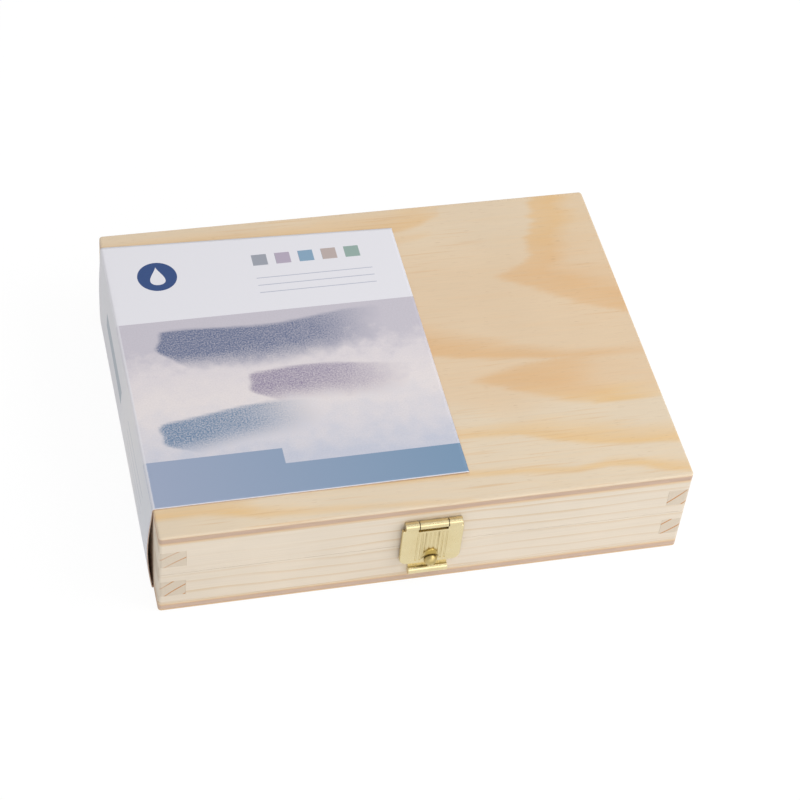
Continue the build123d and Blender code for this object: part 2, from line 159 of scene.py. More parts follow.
class StageSettings(PropertyGroup):
    """Strength of the lamps and colour of the floor."""
    floor: colour("Floor", "Plain pale floor", "#F4F4F4")
    key: watts("Key lamp", "Power of the large lamp at the right", 5.9)
    fill: watts("Front lamp", "Power of the lamp in front", 1.75)
    ambient: FloatProperty(name="Ambient", description="Strength of the even light all round", default=0.62,
                           min=0.0, max=2.0)


# ---------------- meshes

WELD_GAP, PACKED_WELD_GAP = 2e-7, 2e-6  # points closer than this are one, in metres
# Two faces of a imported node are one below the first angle, and meet in a sharp edge above the second.
FLAT_ANGLE, SHARP_ANGLE = 0.4, 28.0  # in degrees


def grid_mesh(name, points, closed=False, uv=None):
    """One quad for each cell of a grid of points in mm (rows, columns, 3); closed joins the last column
    to the first."""
    rows, columns = points.shape[:2]
    index = np.arange(rows * columns).reshape(rows, columns)
    if closed:
        index = np.concatenate([index, index[:, :1]], axis=1)
    corners = [(slice(None, -1), slice(None, -1)), (slice(1, None), slice(None, -1)),
               (slice(1, None), slice(1, None)), (slice(None, -1), slice(1, None))]
    quads = np.stack([index[c] for c in corners], axis=-1).reshape(-1, 4)
    mesh = bpy.data.meshes.new(name)
    mesh.from_pydata((points.reshape(-1, 3) * MM).tolist(), [], quads.tolist())
    if uv is not None:
        layer = mesh.uv_layers.new(name="UVMap")
        loops = np.stack([uv[c] for c in corners], axis=2).reshape(-1, 2)
        layer.data.foreach_set("uv", loops.astype(np.float32).ravel())
    return mesh


def close_mesh(mesh, fill=False, packed=None):
    """Merges doubled points, as at a pole, fills open ends on request and turns every face outwards. With
    packed, the mesh becomes a copy of that packed one, its triangles merged into whole faces."""
    bm = bmesh.new()
    bm.from_mesh(packed or mesh)
    bmesh.ops.remove_doubles(bm, verts=bm.verts, dist=PACKED_WELD_GAP if packed else WELD_GAP)
    if packed:
        bmesh.ops.dissolve_limit(bm, angle_limit=math.radians(FLAT_ANGLE), verts=bm.verts, edges=bm.edges)
    if fill:
        bmesh.ops.holes_fill(bm, edges=[e for e in bm.edges if e.is_boundary], sides=0)
    bmesh.ops.recalc_face_normals(bm, faces=bm.faces)
    bm.to_mesh(mesh)
    bm.free()
    return mesh


def piece(name, mesh, materials, node, smooth=35.0):
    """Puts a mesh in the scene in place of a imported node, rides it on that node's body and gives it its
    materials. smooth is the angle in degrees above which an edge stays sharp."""
    mesh.shade_smooth()
    mesh.set_sharp_from_angle(angle=math.radians(smooth))
    obj = bpy.data.objects.new(name, mesh)
    bpy.context.scene.collection.objects.link(obj)
    for material in materials:
        mesh.materials.append(material)
    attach(obj, frame["nodes"][node]["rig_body"])
    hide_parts(node)
    return obj


def merged_copy(node, name, material, edge=0.0):
    """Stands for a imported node: its triangles are merged into whole faces, its sharp edges are broken by
    edge metres, and its rounds are shaded smooth."""
    mesh = close_mesh(bpy.data.meshes.new(name), packed=frame["nodes"][node].data)
    obj = piece(name, mesh, [material], node, SHARP_ANGLE)
    if edge > 0:
        bevel = obj.modifiers.new("broken edge", "BEVEL")
        bevel.width = edge
        bevel.segments = 2
        bevel.limit_method = "ANGLE"
        bevel.angle_limit = math.radians(SHARP_ANGLE + 5)
        bevel.use_clamp_overlap = False
        bevel.harden_normals = True


def dress(node, material):
    """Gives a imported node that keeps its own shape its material."""
    slots = frame["nodes"][node].data.materials
    slots.clear()
    slots.append(material)


# ---------------- materials

WAVE_UNIT = 0.1 * math.pi  # the wave texture has one band for each 0.314 of its own units
CORE_PLY = 2.1  # thickness of the middle plies, in mm
HOOD_RISE = 2.6  # from the stud's middle up to the middle of the pressed hood, in mm
CARD_DEPTH, CARD_WIDTH = 121.6, 105.0  # the card at the fold, and on the lid, in mm
UV_REACH = 100.0  # the card's UV map spans this much to each side of the fold, in mm


def node_adder(tree):
    """Makes the function that adds a shader node to a tree. kind is the type of the node, and for a maths
    node its operation. The values are constants, nodes or sockets, and go to the node's enabled inputs in
    order, or to those that a dict names. stops are the places and tones of a colour ramp, the rest are the
    node's settings, and a Mix mixes colours unless they say otherwise."""
    def add(kind, *values, stops=(), **settings):
        kind, *operation = kind.split()
        node = tree.nodes.new("ShaderNode" + kind)
        if operation:
            settings["operation"] = operation[0]
        if kind == "Mix":
            settings = {"data_type": "RGBA", **settings}
        for key, value in settings.items():
            setattr(node, key, value)
        if stops:
            elements = node.color_ramp.elements
            elements.remove(elements[-1])
            elements[0].position, elements[0].color = stops[0]
            for place, tone in stops[1:]:
                elements.new(place).color = tone
        if values and isinstance(values[0], dict):
            pairs = [(node.inputs[key], value) for key, value in values[0].items()]
        else:
            pairs = list(zip([socket for socket in node.inputs if socket.enabled], values))
        for socket, value in pairs:
            if isinstance(value, bpy.types.Node):
                value = next(output for output in value.outputs if output.enabled)
            if isinstance(value, bpy.types.NodeSocket):
                tree.links.new(value, socket)
            else:
                socket.default_value = value
        return node
    return add


def new_material(name):
    """An empty node material and the function that adds nodes to it."""
    material = bpy.data.materials.new(name)
    material.use_nodes = True
    material.node_tree.nodes.clear()
    return material, node_adder(material.node_tree)


def finish(add, tone, roughness, specular=0.5, relief=None, metallic=0.0):
    """Ends a tree with one physically based shader; relief is a height, its strength and its depth."""
    inputs = {"Base Color": tone, "Roughness": roughness, "Specular IOR Level": specular,
              "Metallic": metallic}
    if relief:
        inputs["Normal"] = add("Bump", dict(zip(("Height", "Strength", "Distance"), relief)))
    add("OutputMaterial", add("BsdfPrincipled", inputs))


def streaks(add, place, scale, *texture):
    """Noise stretched along the axes; scale is the number of its features in a metre along each of them,
    and texture its detail and roughness."""
    return add("TexNoise", add("Mapping", {"Vector": place, "Scale": scale}), 1.0, *texture)


def shaded(add, tone, *changes):
    """A tone made lighter and darker by noises; each change is a noise, two of its values, and the share
    of the tone that is left at each of them."""
    shade, *others = [add("MapRange", *change) for change in changes]
    for other in others:
        shade = add("Math MULTIPLY", shade, other)
    return add("VectorMath MULTIPLY", tone, shade)


def window(add, *spans, strength=None):
    """1, or strength, where each value lies within its span, and 0 elsewhere. A span is the value, its
    middle, its half width and, where it repeats, its pitch."""
    masks = []
    for value, middle, half, *pitch in spans:
        if pitch:
            value = add("Math WRAP", value, pitch[0], 0.0)
        masks.append(add("Math COMPARE", value, middle, half))
    result, *others = masks if strength is None else [*masks, strength]
    for other in others:
        result = add("Math MULTIPLY", result, other)
    return result


def coated(add, tone, *coats):
    """A tone under several coats; each is the share of the surface that it covers, and its own tone."""
    for share, coat in coats:
        tone = add("Mix", share, tone, coat)
    return tone


def sawn_pine(name, grain, pith, ring, phase, wander=1.0, faint=0.1):
    """Sawn and sanded pine without varnish: pale wood with thin, slightly wandering latewood lines that
    follow the fibres, darker diagonal rings on the cut ends, and a dull, faintly fibrous face. grain is
    the axis of the fibres, pith the middle of the tree across them in mm, and ring the ring width in mm.
    The lines wander over 16 mm across the fibres and 80 mm along them; faint is how weak a line may get."""
    def turned(along, across, level):
        return (along, across, level) if grain == "X" else (across, along, level)

    wood = bpy.context.scene.tube_box_wood
    material, add = new_material(name)
    coords = add("TexCoord").outputs
    place = coords["Object"]
    log = add("Mapping", {"Vector": place, "Scale": turned(200, 1000, 1000),
                          "Location": turned(0, -pith[0], -pith[1])})
    rings = add("TexWave", log, WAVE_UNIT / ring, 5.5 * wander, 2.0, ring / (WAVE_UNIT * 16), 0.5, phase,
                wave_type="RINGS", rings_direction=grain, wave_profile="SAW").outputs["Fac"]
    face = add("ValToRGB", rings, stops=[
        (0.0, wood.early), (0.7, wood.early), (0.93, wood.late), (0.975, wood.late), (1.0, wood.early)])
    ends = add("ValToRGB", rings, stops=[
        (0.0, wood.end_grain), (0.84, wood.end_grain), (0.92, wood.resin_line), (0.975, wood.resin_line),
        (1.0, wood.end_grain)])
    # Some rings stay faint: a slow noise across the log sets how dark each line is.
    drift = add("TexNoise", log, 0.07, 1.0)
    strength = add("MapRange", drift, 0.38, 0.58, faint, 1.0, interpolation_type="SMOOTHSTEP")
    ends = add("Mix", strength, wood.end_grain, ends)
    face = add("Mix", add("MapRange", drift, 0.36, 0.62, 0.1, 1.0), wood.early, face)
    facing = add("SeparateXYZ", coords["Normal"]).outputs[grain]
    cut = add("MapRange", add("Math ABSOLUTE", facing), 0.6, 0.9)
    # Fibres: 30 mm long and 0.5 mm apart, lighter and darker by about three parts in a hundred.
    fibre = streaks(add, place, turned(33, 2000, 2000), 4.0, 0.6)
    tone = shaded(add, add("Mix", cut, face, ends), (fibre, 0.25, 0.75, 0.955, 1.035),
                  (add("TexNoise", place, 45.0, 2.0), 0.3, 0.7, 0.975, 1.02))
    finish(add, tone, 0.62, 0.35, (fibre, 0.25, 0.00006))
    return material


def knife_veneer(name):
    """Rotary-cut pine veneer, sanded: broad, flame-shaped warm bands on cream, where the knife has run
    along the growth rings. The attribute band says how warm the wood is, and tone how peach its ground."""
    wood = bpy.context.scene.tube_box_wood
    material, add = new_material(name)
    place = add("TexCoord").outputs["Object"]
    frayed, ground = (add("Attribute", attribute_name=layer).outputs["Fac"] for layer in ("band", "tone"))
    # Fibres that fray the bands: streaks 25 mm long and 3 mm apart, then 12 mm long and 0.7 mm apart.
    broad = streaks(add, place, (40, 330, 330), 2.0)
    fine = streaks(add, place, (80, 1400, 1400), 4.0, 0.6)
    for fibre in (broad, fine):
        frayed = add("Math MULTIPLY_ADD", fibre, 0.5, frayed)
    base = add("Mix", ground, wood.veneer_pale, wood.veneer_peach)
    warm = add("Mix", ground, wood.veneer_gold, wood.veneer_warm)
    # Darker hair-thin streaks, 30 mm long and 1 mm apart, in patches 40 mm wide.
    hair = add("MapRange", streaks(add, place, (33, 1000, 1000), 1.0), 0.58, 0.72)
    patch = add("MapRange", add("TexNoise", place, 25.0, 0.0), 0.45, 0.62, 0.0, 0.5)
    hair = add("Math MULTIPLY", hair, patch)
    # Resin ducts: short brown flecks 3 mm long and 0.2 mm wide.
    fleck = add("MapRange", streaks(add, place, (250, 3600, 3600), 0.0), 0.74, 0.82, 0.0, 0.22)
    # The sanded edge warms towards the glue line, in streaks, over the lowest 0.4 mm of the ply.
    height = add("SeparateXYZ", place).outputs["Z"]
    soak = add("MapRange", height, 37.1 * MM, 37.6 * MM, 0.9, 0.0)
    soak = add("Math MULTIPLY", soak, broad, use_clamp=True)
    tone = coated(add, base, (add("MapRange", frayed, 0.5, 1.55), warm), (hair, linear("#DBB689")),
                  (fleck, linear("#A67C52")), (soak, wood.veneer_warm))
    tone = shaded(add, tone, (fine, 0.25, 0.75, 0.97, 1.025),
                  (add("TexNoise", place, 28.0, 2.0), 0.3, 0.7, 0.98, 1.02))
    finish(add, tone, 0.5, 0.4, (fine, 0.2, 0.00005))
    return material


def face_veneer(name, node, pale, glued, glue_side, phase):
    """Face ply of a panel. Its sanded edge is pale wood that warms towards its glue line, with fine fibres
    along it, and its bare side has the wavy warm bands of rotary-cut veneer, 34 mm apart, each crisp on one
    side. glue_side is 1 where the glue is above the ply and 0 where it is below."""
    wood = bpy.context.scene.tube_box_wood
    low, high = node_box(node)
    foot, height = low[2], high[2] - low[2]
    material, add = new_material(name)
    coords = add("TexCoord").outputs
    place = coords["Object"]
    rise = add("MapRange", add("SeparateXYZ", place).outputs["Z"], foot * MM, (foot + height) * MM,
               1.0 - glue_side, float(glue_side))
    wander = add("Math MULTIPLY_ADD", streaks(add, place, (50, 50, 2500), 3.0), 0.5, rise)
    edge = add("ValToRGB", wander, stops=[
        (0.3, linear(pale)), (0.8, linear(pale)), (1.25 / 1.5, linear(glued))])
    fibre = streaks(add, place, (30, 900, 900), 4.0)
    # The bands wander over 45 mm across the fibres and 180 mm along them.
    log = add("Mapping", {"Vector": place, "Scale": (250, 1000, 1000)})
    bands = add("TexWave", log, WAVE_UNIT / 34, 7.0, 2.0, 34 / (WAVE_UNIT * 45), 0.5, phase,
                wave_type="BANDS", bands_direction="Y", wave_profile="SAW").outputs["Fac"]
    frayed = add("Math MULTIPLY_ADD", fibre, 0.16, bands)
    amount = add("ValToRGB", frayed, stops=[(0.0, linear("#000000")), (0.4, linear("#000000")),
                                            (0.93, linear("#D8D8D8")), (1.0, linear("#606060"))])
    side = add("Mix", amount, wood.veneer_pale, wood.veneer_warm)
    level = add("Math ABSOLUTE", add("SeparateXYZ", coords["Normal"]).outputs["Z"])
    level = add("Math GREATER_THAN", level, 0.7)
    tone = shaded(add, add("Mix", level, edge, side), (fibre, 0.25, 0.75, 0.95, 1.03))
    finish(add, tone, 0.6, 0.35)
    return material


def core_veneer(name, node, core):
    """Sanded edge of the middle ply, whose fibres run across the panel: a pinkish brown stripe of cut
    fibre ends, streaked along the edge and warmer at the two glue lines."""
    wood = bpy.context.scene.tube_box_wood
    foot = node_box(node)[0][2]
    material, add = new_material(name)
    place = add("TexCoord").outputs["Object"]
    rise = add("MapRange", add("SeparateXYZ", place).outputs["Z"], foot * MM, (foot + CORE_PLY) * MM)
    stripe = add("ValToRGB", rise, stops=[
        (0.0, wood.glue), (0.1, wood.glue), (0.28, core), (0.8, core), (0.95, wood.glue)])
    # Streaks along the edge: 12 mm long and 0.35 mm high.
    streak = streaks(add, place, (85, 85, 2800), 3.0, 0.6)
    warmth = add("MapRange", add("TexNoise", place, 60.0, 1.0), 0.42, 0.62, 0.0, 0.35)
    tone = shaded(add, add("Mix", warmth, stripe, linear("#CDB29A")), (streak, 0.3, 0.7, 0.88, 1.09))
    finish(add, tone, 0.7, 0.3, (streak, 0.3, 0.00006))
    return material


def rolled_brass(name, lines, stud=None):
    """Rolled and lightly brushed brass under clear lacquer: pale gold with soft, stretched reflections.
    lines is the scale of the brush marks along each axis, per metre; stud is the middle in mm of the stud
    below the hasp's pressed hood, round which shade is painted: a darker hood, a shadow line over the stud
    and darker rib grooves."""
    metal = bpy.context.scene.tube_box_brass
    material, add = new_material(name)
    coords = add("TexCoord").outputs
    place = coords["Object"]
    mark = streaks(add, place, lines, 2.0, 0.5)
    share = add("MapRange", add("TexNoise", place, 160.0, 3.0), 0.45, 0.75, 0.0, 0.3)
    coats = [(share, linear("#D3BD86"))]
    if stud is not None:
        # Painted shade on the hood: a darker tone covers an ellipse 5.6 mm wide and 6.4 mm high, and fades
        # over its outer half.
        hood = [stud[0] * MM, stud[1] * MM, (stud[2] + HOOD_RISE) * MM]
        from_hood = add("VectorMath SUBTRACT", place, hood)
        oval = add("VectorMath MULTIPLY", from_hood, (1 / 0.0028, 0.0, 1 / 0.0032))
        hood_shade = add("MapRange", add("VectorMath LENGTH", oval), 0.55, 1.05, 0.95, 0.0,
                    interpolation_type="SMOOTHSTEP")
        # A painted shadow line, 0.4 mm wide, follows the mouth of the hood over the top of the stud.
        from_stud = add("VectorMath ADD", from_hood, (0.0, 0.0, HOOD_RISE * MM))
        from_stud = add("VectorMath MULTIPLY", from_stud, (1 / MM, 0.0, 1 / MM))
        arch = add("MapRange", add("SeparateXYZ", from_stud).outputs["Z"], 0.2, 1.2, 0.0, 0.85)
        mouth_shadow = window(add, (add("VectorMath LENGTH", from_stud), 2.8, 0.2), strength=arch)
        # Painted shade in the grooves between the ribs: the flanks that look sideways are darker.
        sideways = add("Math ABSOLUTE", add("SeparateXYZ", coords["Normal"]).outputs["X"])
        groove = add("MapRange", sideways, 0.2, 0.6, 0.0, 0.28)
        coats += [(hood_shade, metal.hood_shade_tone), (mouth_shadow, linear("#6E5424")), (groove, linear("#A08C4C"))]
    finish(add, coated(add, metal.brass, *coats), add("MapRange", mark, 0.3, 0.7, 0.26, 0.32),
           relief=(mark, 0.02, 0.00001), metallic=1.0)
    return material


def bare_metal(name, lines, marks, stops, roughness):
    """Bare metal with the fine lines that its making has left; lines is their scale along each axis, per
    metre, marks the range of the noise that sets the roughness, and stops their tones."""
    material, add = new_material(name)
    mark = streaks(add, add("TexCoord").outputs["Object"], lines, 2.0)
    finish(add, add("ValToRGB", mark, stops=stops), add("MapRange", mark, *marks, *roughness), metallic=1.0)
    return material


def turned_brass(name):
    """Turned and tumbled brass of the stud: a deeper gold than the sheet, with fine rings left by the tool
    and a softer shine."""
    metal = bpy.context.scene.tube_box_brass
    return bare_metal(name, (300, 5000, 300), (0.3, 0.7), [(0.3, linear("#B5A165")), (0.6, metal.turned)],
                      (0.4, 0.5))


def drawn_steel(name):
    """Drawn steel wire of the pins: grey metal with fine lines along the wire."""
    metal = bpy.context.scene.tube_box_brass
    return bare_metal(name, (300, 5000, 5000), (0.0, 1.0), [(0.3, linear("#A9A69F")), (0.7, metal.steel)],
                      (0.25, 0.42))


def printed_card(name):
    """Solid board with a printed and satin-coated face: a white band with a disc, colour patches and thin
    rules, a picture area of three granulating brush strokes on pale mist, and a plain blue band. Its
    measures are in mm: across from the fold, and up from the front edge of the card."""
    card = bpy.context.scene.tube_box_card
    tubes = bpy.context.scene.tube_box_tubes
    material, add = new_material(name)
    uv = add("SeparateXYZ", add("UVMap", uv_map="UVMap")).outputs
    across = add("MapRange", uv["X"], 0.0, 1.0, -UV_REACH, UV_REACH, clamp=False)
    up = add("Math MULTIPLY", uv["Y"], CARD_DEPTH)
    spot = add("CombineXYZ", across, up)
    # Paper mottling 6 mm wide, and pigment grains 0.5 mm wide that sit in the hollows of the paper.
    mottle = add("TexNoise", spot, 0.16, 4.0, 0.6)
    grains = add("TexNoise", spot, 1.8, 3.0, 0.7)
    sky = add("Math MULTIPLY_ADD", mottle, 0.4, add("MapRange", up, 12.0, 83.0))
    mist = add("ValToRGB", sky, stops=[
        (0.2, linear("#C9CCDA")), (0.4, linear("#DAD7DE")), (0.65, linear("#E9E1E1")),
        (0.85, linear("#E1DADE")), (1.0, linear("#CBC6D0"))])
    mist = shaded(add, mist, (grains, 0.3, 0.7, 0.93, 1.02))
    washes = add("SeparateColor", add("Attribute", attribute_name="wash")).outputs
    page = mist
    for channel, tone in (("Red", "#59678A"), ("Green", "#8B7F9C"), ("Blue", "#5F7EA0")):
        wet = add("Math MULTIPLY_ADD", mottle, 0.3, washes[channel])
        amount = add("Math MULTIPLY", add("MapRange", wet, 0.2, 1.05),
                     add("MapRange", grains, 0.35, 0.65, 0.35, 1.2), use_clamp=True)
        page = add("Mix", amount, page, linear(tone))
    # White band above 82.6 mm, blue band below 12.9 mm, with a tab 6.7 mm taller over the first 46 mm.
    in_white = add("Math GREATER_THAN", up, 82.6)
    in_tab = add("Math LESS_THAN", across, 46.0)
    band_top = add("Math MULTIPLY_ADD", in_tab, 6.7, 12.9)
    in_band = add("Math LESS_THAN", up, band_top)
    band = add("ValToRGB", add("MapRange", across, 0.0, CARD_WIDTH),
               stops=[(0.0, card.band_left), (1.0, card.band_right)])
    # The disc, 7 mm in radius, with a drop left white in it: the drop's half width squared is the
    # height above its foot times the cube of the depth below its tip, times a constant.
    from_disc = add("VectorMath SUBTRACT", spot, (17.5, 104.5, 0))
    in_disc = add("Math LESS_THAN", add("VectorMath LENGTH", from_disc), 7.0)
    aside, above, _ = add("SeparateXYZ", from_disc).outputs
    below = add("Math POWER", add("Math SUBTRACT", 4.9, above), 3.0)
    shape = add("Math MULTIPLY", add("Math ADD", above, 4.1), below)
    shape = add("Math MULTIPLY", shape, 0.0105)
    in_drop = add("Math LESS_THAN", add("Math POWER", aside, 2.0), shape)
    disc = add("Math SUBTRACT", in_disc, in_drop, use_clamp=True)
    # Five colour patches 5.4 mm square, 8.4 mm apart, from 52 to 94 mm, and three thin rules under them,
    # 0.35 mm thick and 3.6 mm apart.
    run = (across, 73.0, 21.0)
    from_run = add("Math SUBTRACT", across, 52.0)
    patch = window(add, (from_run, 2.7, 2.7, 8.4), (up, 108.0, 2.7), run)
    patch_tone = add("ValToRGB", add("MapRange", across, 52.0, 94.0),
                     stops=[(n / 5, getattr(tubes, f"paint_{n + 1}")) for n in range(5)])
    patch_tone.color_ramp.interpolation = "CONSTANT"
    rule = window(add, (up, 1.8, 0.17, 3.6), (up, 95.4, 5.3), run, strength=0.6)
    page = coated(add, page, (in_white, card.white), (in_band, band), (disc, card.ink), (patch, patch_tone),
                  (rule, linear("#8A93AC")))
    # The spine, left of the fold, is white with the mist showing faintly. It has one plain grey bar and
    # four thin rules, 0.5 mm thick and 4 mm apart, between 14 and 48 mm from the front.
    bar = window(add, (across, -15.0, 3.2), (up, 82.0, 19.0), strength=0.8)
    rule = window(add, (across, 2.0, 0.25, 4.0), (up, 31.0, 17.0), (across, -16.0, 8.0), strength=0.5)
    spine = coated(add, linear("#DDDFE2"), (0.35, mist), (bar, linear("#8795A3")), (rule, linear("#8C97AE")))
    # The coat is worn white along the fold, and chipped white along the cut at the front.
    fold = add("Math ABSOLUTE", add("Math ADD", across, -0.2))
    fold = add("Math MULTIPLY_ADD", grains, -0.5, fold)
    worn = add("Math MAXIMUM", add("MapRange", fold, 0.15, 0.55, 0.8, 0.0),
               add("MapRange", up, 0.25, 0.45, 0.9, 0.0))
    page = coated(add, page, (add("Math LESS_THAN", across, -0.6), spine), (worn, card.white))
    finish(add, page, 0.42, 0.4, (grains, 0.08, 0.00004))
    return material


def raw_card(name, dark, pale):
    """Uncoated board: fibre with a faint mottle 1 mm wide, brown on the recycled inner side and white
    where the knife has cut the edge."""
    material, add = new_material(name)
    fibre = add("TexNoise", add("TexCoord").outputs["Object"], 900.0, 3.0)
    finish(add, add("ValToRGB", fibre, stops=[(0.3, linear(dark)), (0.7, linear(pale))]), 0.8, 0.2)
    return material


def lacquered_tube(name, paint):
    """Soft aluminium tube, white lacquered and printed with a band and a brushed patch of its colour;
    the neck, the shoulder's rim and the folded tail are bare metal."""
    tubes = bpy.context.scene.tube_box_tubes
    material, add = new_material(name)
    place = add("TexCoord").outputs["Object"]
    around = add("SeparateXYZ", add("UVMap", uv_map="UVMap")).outputs["X"]
    along = add("Math MULTIPLY", add("SeparateXYZ", place).outputs["Y"], 1 / MM)
    # Streaks of the dry brush: 25 mm long and 0.9 mm apart; pigment grains 0.4 mm wide.
    streak = streaks(add, place, (1100, 40, 100), 2.0, 0.5)
    grains = add("TexNoise", place, 2500.0, 2.0)
    # The brush runs dry towards the tail.
    dryness = add("Math SUBTRACT", streak, add("MapRange", along, 0.0, 18.0, -0.3, 0.0))
    dry = add("Math MULTIPLY", add("MapRange", dryness, 0.44, 0.56),
              add("MapRange", grains, 0.3, 0.6, 0.55, 1.0))
    # The colour band is 9 mm wide behind the shoulder; the brushed patch is on top, with ragged ends.
    fuzz = add("Math MULTIPLY_ADD", streak, 9.0, along)
    patch = window(add, (fuzz, 13.0, 9.5), (around, 0.25, 0.1), strength=dry)
    inked = add("Math MAXIMUM", window(add, (along, -18.0, 4.5)), patch)
    rule = window(add, (along, 1.2, 0.16, 2.4), (along, 33.0, 6.5), (around, 0.25, 0.09), strength=0.5)
    # Bare in front of the shoulder's rim, and behind the crimp.
    bare = add("Math MAXIMUM", add("Math LESS_THAN", along, -25.6),
               add("Math GREATER_THAN", along, 55.8))
    tone = coated(add, tubes.lacquer, (inked, paint), (rule, linear("#70747E")), (bare, tubes.metal))
    finish(add, tone, add("MapRange", bare, 0.0, 1.0, 0.3, 0.36), metallic=bare)
    return material


def moulded_cap(name):
    """Moulded black polypropylene with a fine satin grain."""
    tubes = bpy.context.scene.tube_box_tubes
    material, add = new_material(name)
    place = add("TexCoord").outputs["Object"]
    grain = add("TexNoise", place, 4000.0, 2.0)
    worn = add("TexNoise", place, 350.0, 3.0)
    tone = add("ValToRGB", worn, stops=[(0.35, tubes.cap), (0.8, linear("#323237"))])
    finish(add, tone, add("MapRange", worn, 0.0, 1.0, 0.34, 0.5), relief=(grain, 0.12, 0.00003))
    return material


def wet_paint(name, tone):
    """Watercolour paste: moist and granulating, so the tone is mottled and glossy."""
    material, add = new_material(name)
    grains = add("TexNoise", add("TexCoord").outputs["Object"], 1500.0, 4.0, 0.7)
    finish(add, shaded(add, tone[:3], (grains, 0.3, 0.7, 0.6, 1.05)), 0.22)
    return material


def foam(name):
    """Closed-cell polyethylene foam of the seal: matt white with cells 0.3 mm wide."""
    material, add = new_material(name)
    cells = add("TexVoronoi", add("TexCoord").outputs["Object"], 3300.0)
    finish(add, add("ValToRGB", cells, stops=[(0.0, linear("#EFEFEA")), (0.8, linear("#D5D5CF"))]), 0.85)
    return material


# ---------------- wooden case

def smooth_step(low, high, value):
    """0 below low, 1 above high, and three t squared minus two t cubed between them."""
    share = np.clip((value - low) / (high - low), 0.0, 1.0)
    return share * share * (3.0 - 2.0 * share)


def ripple(x, y, size, seed):
    """Smooth wander, mostly from -1 to 1: seven sines, about size mm apart, whose directions, pitches and
    phases are drawn from the seed, added up and divided by three."""
    turns = np.random.default_rng(seed)
    total = np.zeros_like(x)
    for _ in range(7):
        angle = turns.uniform(0, math.pi)
        pitch = size * turns.uniform(0.7, 1.5)
        phase = turns.uniform(0, 2 * math.pi)
        total += np.sin((x * math.cos(angle) + y * math.sin(angle)) * 2 * math.pi / pitch + phase)
    return total / 3.0


# Warm bands of the lid, from the back to the front. Each has points along x in mm, and at each of them the
# place of its lower edge and its width above it, in mm too, and its strength from 0 to 1.
BANDS = (
    ((-90, 15, 27, 33, 38, 90), (56, 58, 61, 64, 70, 90), (14, 14, 14, 12, 8, 5),
     (0.8, 0.85, 0.8, 0.4, 0.1, 0)),
    ((-90, 15, 25, 30, 90), (50, 51, 53, 56, 90), (9, 8, 7, 5, 4), (0.5, 0.5, 0.35, 0, 0)),
    ((-90, 15, 25, 35, 45, 54, 62, 90), (-1, -4.5, -6.5, -8.3, -9.5, -11, -12, -13.5),
     (24, 22, 17, 13, 9, 7, 6, 6), (1, 1, 1, 1, 0.95, 0.95, 0.85, 0.5)),
    ((-90, 15, 33, 43, 55, 65, 77, 90), (-38, -43, -44, -47, -50, -51.5, -53.5, -55),
     (7, 8, 10, 13, 15, 14, 12, 12), (0.8, 0.8, 0.9, 0.95, 0.9, 0.9, 0.85, 0.85)),
    ((-90, 15, 33, 45, 52, 58, 64, 73, 81, 90),
     (-56, -59.4, -60.7, -62, -63, -62.5, -62, -63.5, -66.5, -68.7),
     (4, 4, 4, 4, 4, 4, 5, 6, 7, 7), (0.8, 0.85, 0.8, 0.8, 0.9, 1, 0.95, 1, 0.9, 0.8)),
    ((-90, -75, -65, -55, -40, -20, 0, 15, 25), (-62.8, -62.5, -63.6, -65.5, -66.5, -67.5, -69, -70.5, -75),
     (8, 8, 8, 5, 3.5, 3, 3, 3, 3), (0.85, 0.9, 0.95, 0.85, 0.7, 0.6, 0.5, 0.4, 0)))
# Two flame-shaped bands whose points lie to the left: outer edge as x and y in mm, then the strength at
# each of the depths inside it.
FLAMES = (
    ((69, 67.5, 65, 61.5, 60, 56, 47.5, 55, 65, 74, 82, 94),
     (75, 62, 52, 45, 40, 35, 30, 24, 19, 13, 10, 5.5), (0.8, 1.0, 0.35, 0.15)),
    ((60, 52, 44, 36, 26, 36, 42, 50, 57, 64, 74, 94),
     (-11, -11.5, -12.5, -15, -18.5, -22.5, -26, -29.5, -32.5, -34, -34.5, -34), (0.8, 1.0, 0.8, 0.3)))
FLAME_DEPTHS = (0.0, 9.0, 17.0, 30.0)  # in mm


def flame_depth(x, y, edge_x, edge_y):
    """Distance in mm from a flame's outer edge to a point inside it, and minus that distance outside."""
    edge_x, edge_y = np.array(edge_x, float), np.array(edge_y, float)
    fine_y = np.linspace(edge_y[0], edge_y[-1], 120)
    fine_x = np.interp(-fine_y, -edge_y, edge_x)
    near = np.min(np.hypot(x[:, None] - fine_x, y[:, None] - fine_y), axis=1)
    inside = (x > np.interp(-y, -edge_y, edge_x)) & (y < edge_y[0]) & (y > edge_y[-1])
    return np.where(inside, near, -near)


